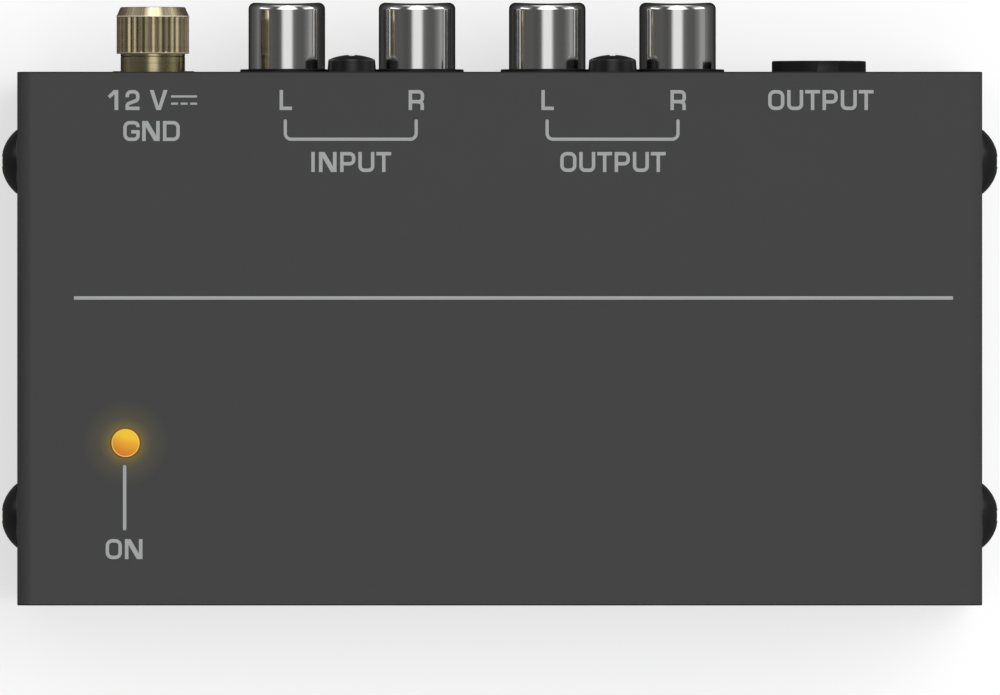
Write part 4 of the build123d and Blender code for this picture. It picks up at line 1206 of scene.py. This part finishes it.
pan, barrel, insulator = model_pan_screw(), model_barrel(), model_insulator()
for pair in ("input", "output"):
    node = f"phono_{pair}_screw"
    spot = middle(node)
    screw = clone(pan, f"panel_screw_{pair}")
    place(screw, (spot.x, span("bottom_chassis")[1].y, spot.z), REARWARD)
    settle(screw, "preamp", "black_screw", [node])
    for side, colour in (("left", "white_insulator"), ("right", "red_insulator")):
        node = f"phono_{pair}_{side}"
        spot = middle(f"{node}_barrel")
        root = (spot.x, span(f"{node}_barrel")[0].y, spot.z)
        shell = place(clone(barrel, f"barrel_{pair}_{side}"), root, REARWARD)
        settle(shell, "preamp", "barrel_nickel", [f"{node}_barrel"])
        bush = place(clone(insulator, f"bush_{pair}_{side}"), root, REARWARD)
        settle(bush, "preamp", colour, [f"{node}_insulator"])
for template in (truss, foot, pan, barrel, insulator):
    discard(template)

post_spot = middle("ground_post")
for model, node, body, metal in (
    (model_ground_post, "ground_post", "preamp", "brass"),
    (model_washer, "ground_washer", "washer", "brass"),
    (model_thumb_nut, "ground_thumb_nut", "thumb_nut", "knurled_brass"),
):
    piece = place(model(), (post_spot.x, span(node)[0].y, post_spot.z), REARWARD)
    settle(piece, body, metal, [node])

lamp_spot = middle("led_lamp")
lamp_piece = place(model_lamp(), (lamp_spot.x, lamp_spot.y, span("led_lamp")[0].z))
settle(lamp_piece, "preamp", "lamp_lens", ["led_lamp"])

settle(model_jack(), "preamp", "black_moulding", ["jack_socket"])
for node, name, finish_name in (
    ("bottom_chassis", "chassis_shell", "chassis_paint"),
    ("phono_input_block", "phono_housing_input", "black_moulding"),
    ("phono_output_block", "phono_housing_output", "black_moulding"),
    ("power_socket", "power_housing", "black_moulding"),
):
    housing = copy_node(node, name)
    soften(housing, HOUSING_SOFTNESS)
    settle(housing, "preamp", finish_name, [node])

for node in frame["nodes"].values():
    for slot in node.material_slots:
        slot.material = FINISHES[slot.material.name.split(".")[0]]


# ---- studio
# Floor, tent and card are in metres, the lens and the picture in millimetres.
AMBIENT_LEVEL = 0.45
FLOOR_SIZE = 6
FLOOR_TONE = 0.52
FLOOR_LIFT = 0.58
TENT_RADIUS = 0.9
CARD_SIZE = 4
CARD_LIFT = 0.0005
CARD_LEVELS = (0.045, 0.2)
CARD_FADE = 0.15
SUN_STRENGTH = 1.6
SUN_WIDTH = 50
SUN_TILT = (-8, 28)
LENS_MM, SENSOR_MM = 1000.0, 36.0
PICTURE_WIDTH = 107.71
PICTURE_CENTRE = (0.03, -4.807)

# Grey levels round the tent, as (degrees from straight up, towards the right, colour).
TENT_BANDS = [
    (-180, 0.03),
    (-160, (0.072, 0.072, 0.073)),
    (-112, (0.085, 0.085, 0.086)),
    (-100, (0.12, 0.121, 0.124)),
    (-84, (0.125, 0.126, 0.128)),
    (-70, (0.105, 0.104, 0.102)),
    (-50, (0.11, 0.109, 0.107)),
    (-30, 0.085),
    (-19, 0.13),
    (-10, (0.95, 0.95, 0.96)),
    (11, (0.95, 0.95, 0.96)),
    (20, 0.18),
    (30, 0.12),
    (50, 0.105),
    (66, 0.21),
    (74, (0.35, 0.35, 0.352)),
    (90, (0.36, 0.36, 0.362)),
    (98, 0.085),
    (118, 0.08),
    (160, 0.085),
    (180, 0.03),
]
# Soft boxes in the tent, as (from, to degrees, from, to share of the way to the rear, strength).
TENT_BOXES = [
    (-28, 30, 0.28, 0.97, 1.6),
    (-112, -58, 0.24, 0.46, 1.8),
    (56, 116, 0.24, 0.5, 1.8),
    (52, 130, 0.5, 0.72, 0.45),
    (-130, -52, 0.5, 0.72, 0.2),
    (-200, 200, 0.9, 1.2, 0.9),
    (-200, 200, -1.2, -0.72, 0.9),
]
BOX_SOFTNESS = (8, 0.05)


def sees_background(tree):
    """1 for the rays that show the background: the camera's, and those of metal and of glass."""
    rays = new_node(tree, "ShaderNodeLightPath").outputs
    seen = calc(tree, "ADD", rays["Is Camera Ray"], rays["Is Glossy Ray"], use_clamp=True)
    return calc(tree, "ADD", seen, rays["Is Transmission Ray"], use_clamp=True)


def build_floor():
    """Pale floor: white to the camera and in reflections, with the object's shadow on it."""
    bpy.ops.mesh.primitive_plane_add(size=FLOOR_SIZE)
    floor = bpy.context.object
    floor.name = "floor"
    material, tree = new_material("floor_white")
    surface = surface_of(material)
    lift = calc(tree, "MULTIPLY", sees_background(tree), FLOOR_LIFT)
    feed(tree, surface, {"Base Color": opaque(FLOOR_TONE), "Roughness": 0.9, "Specular IOR Level": 0.0})
    feed(tree, surface, {"Emission Color": opaque(1), "Emission Strength": lift})
    from_below = new_node(tree, "ShaderNodeNewGeometry").outputs["Backfacing"]
    clear = new_node(tree, "ShaderNodeBsdfTransparent").outputs["BSDF"]
    sides = {"Fac": from_below, 1: surface.outputs["BSDF"], 2: clear}
    both = new_node(tree, "ShaderNodeMixShader", sides).outputs["Shader"]
    feed(tree, tree.nodes["Material Output"], {"Surface": both})
    floor.data.materials.append(material)


def build_world():
    """White to the camera and in reflections, and a plain level of light for everything else."""
    world = bpy.data.worlds.new("studio")
    bpy.context.scene.world = world
    world.use_nodes = True
    tree = world.node_tree
    level = remap(tree, sees_background(tree), 0, 1, AMBIENT_LEVEL, 1)
    feed(tree, tree.nodes["Background"], {"Color": opaque(1), "Strength": level})


def reflect_only(piece, name, material_name, light):
    """Make a piece glow by what light gives, and keep it out of sight but for reflections."""
    piece.name = name
    material, tree = new_material(material_name)
    tree.nodes.remove(surface_of(material))
    glow = new_node(tree, "ShaderNodeEmission", light(tree)).outputs["Emission"]
    feed(tree, tree.nodes["Material Output"], {"Surface": glow})
    material.cycles.emission_sampling = "NONE"
    piece.data.materials.append(material)
    for rays in ("camera", "diffuse", "transmission", "volume_scatter", "shadow"):
        setattr(piece, f"visible_{rays}", False)


def window(tree, value, start, end, soft):
    """1 while value is between start and end, with soft ends."""
    rising = remap(tree, value, start - soft, start + soft, soft=True)
    falling = remap(tree, value, end + soft, end - soft, soft=True)
    return calc(tree, "MULTIPLY", rising, falling)


def tent_light(tree):
    """A bright strip along the top of the tent, grey bands down its sides, and soft boxes."""
    way = axes(tree, vector(tree, "NORMALIZE", object_place(tree)))
    degrees = calc(tree, "DEGREES", calc(tree, "ARCTAN2", way["X"], way["Z"]))
    stops = [((angle + 180) / 360, colour) for angle, colour in TENT_BANDS]
    total = ramp(tree, remap(tree, degrees, -180, 180), stops)
    for start, end, near, far, strength in TENT_BOXES:
        across = window(tree, degrees, start, end, BOX_SOFTNESS[0])
        rearward = window(tree, way["Y"], near, far, BOX_SOFTNESS[1])
        box = calc(tree, "MULTIPLY", calc(tree, "MULTIPLY", across, rearward), strength)
        total = vector(tree, "ADD", total, box)
    return {"Color": total}


def card_light(tree):
    """Dark in the middle and paler to the sides, which gives the plated parts dark flanks: a painted dark
    reflection where they would otherwise show the white floor.
    """
    aside = calc(tree, "ABSOLUTE", axes(tree, object_place(tree))["X"])
    return {"Strength": remap(tree, aside, 0, CARD_FADE, *CARD_LEVELS)}


def build_reflections():
    """A round tent over the object and a dark card on the floor, for glossy surfaces alone."""
    centre = middle("phono_input_right_barrel") * MM
    bpy.ops.mesh.primitive_uv_sphere_add(
        segments=64, ring_count=32, radius=TENT_RADIUS, location=(0, centre.y, centre.z)
    )
    reflect_only(bpy.context.object, "reflection_tent", "tent_light", tent_light)
    bpy.ops.mesh.primitive_plane_add(size=CARD_SIZE, location=(0, 0, CARD_LIFT))
    reflect_only(bpy.context.object, "dark_card", "card_dark", card_light)


def build_light():
    """One broad soft light from above, a little to the right."""
    sun = bpy.data.lights.new("soft_overhead", "SUN")
    sun.energy = SUN_STRENGTH
    sun.angle = math.radians(SUN_WIDTH)
    overhead = bpy.data.objects.new("soft_overhead", sun)
    bpy.context.scene.collection.objects.link(overhead)
    overhead.rotation_euler = (math.radians(SUN_TILT[0]), math.radians(SUN_TILT[1]), 0)
    overhead.visible_glossy = False


def build_camera():
    """Long lens straight above the cover, with the rear at the top of the picture."""
    view = bpy.data.cameras.new("camera")
    view.lens = LENS_MM
    view.sensor_width = SENSOR_MM
    view.clip_start = 0.1
    view.clip_end = 20
    camera = bpy.data.objects.new("camera", view)
    bpy.context.scene.collection.objects.link(camera)
    height = span("top_cover")[1].z + PICTURE_WIDTH * LENS_MM / SENSOR_MM
    camera.location = Vector((*PICTURE_CENTRE, height)) * MM
    bpy.context.scene.camera = camera


build_floor()
build_world()
build_reflections()
build_light()
build_camera()
bpy.context.scene.view_settings.view_transform = "Standard"
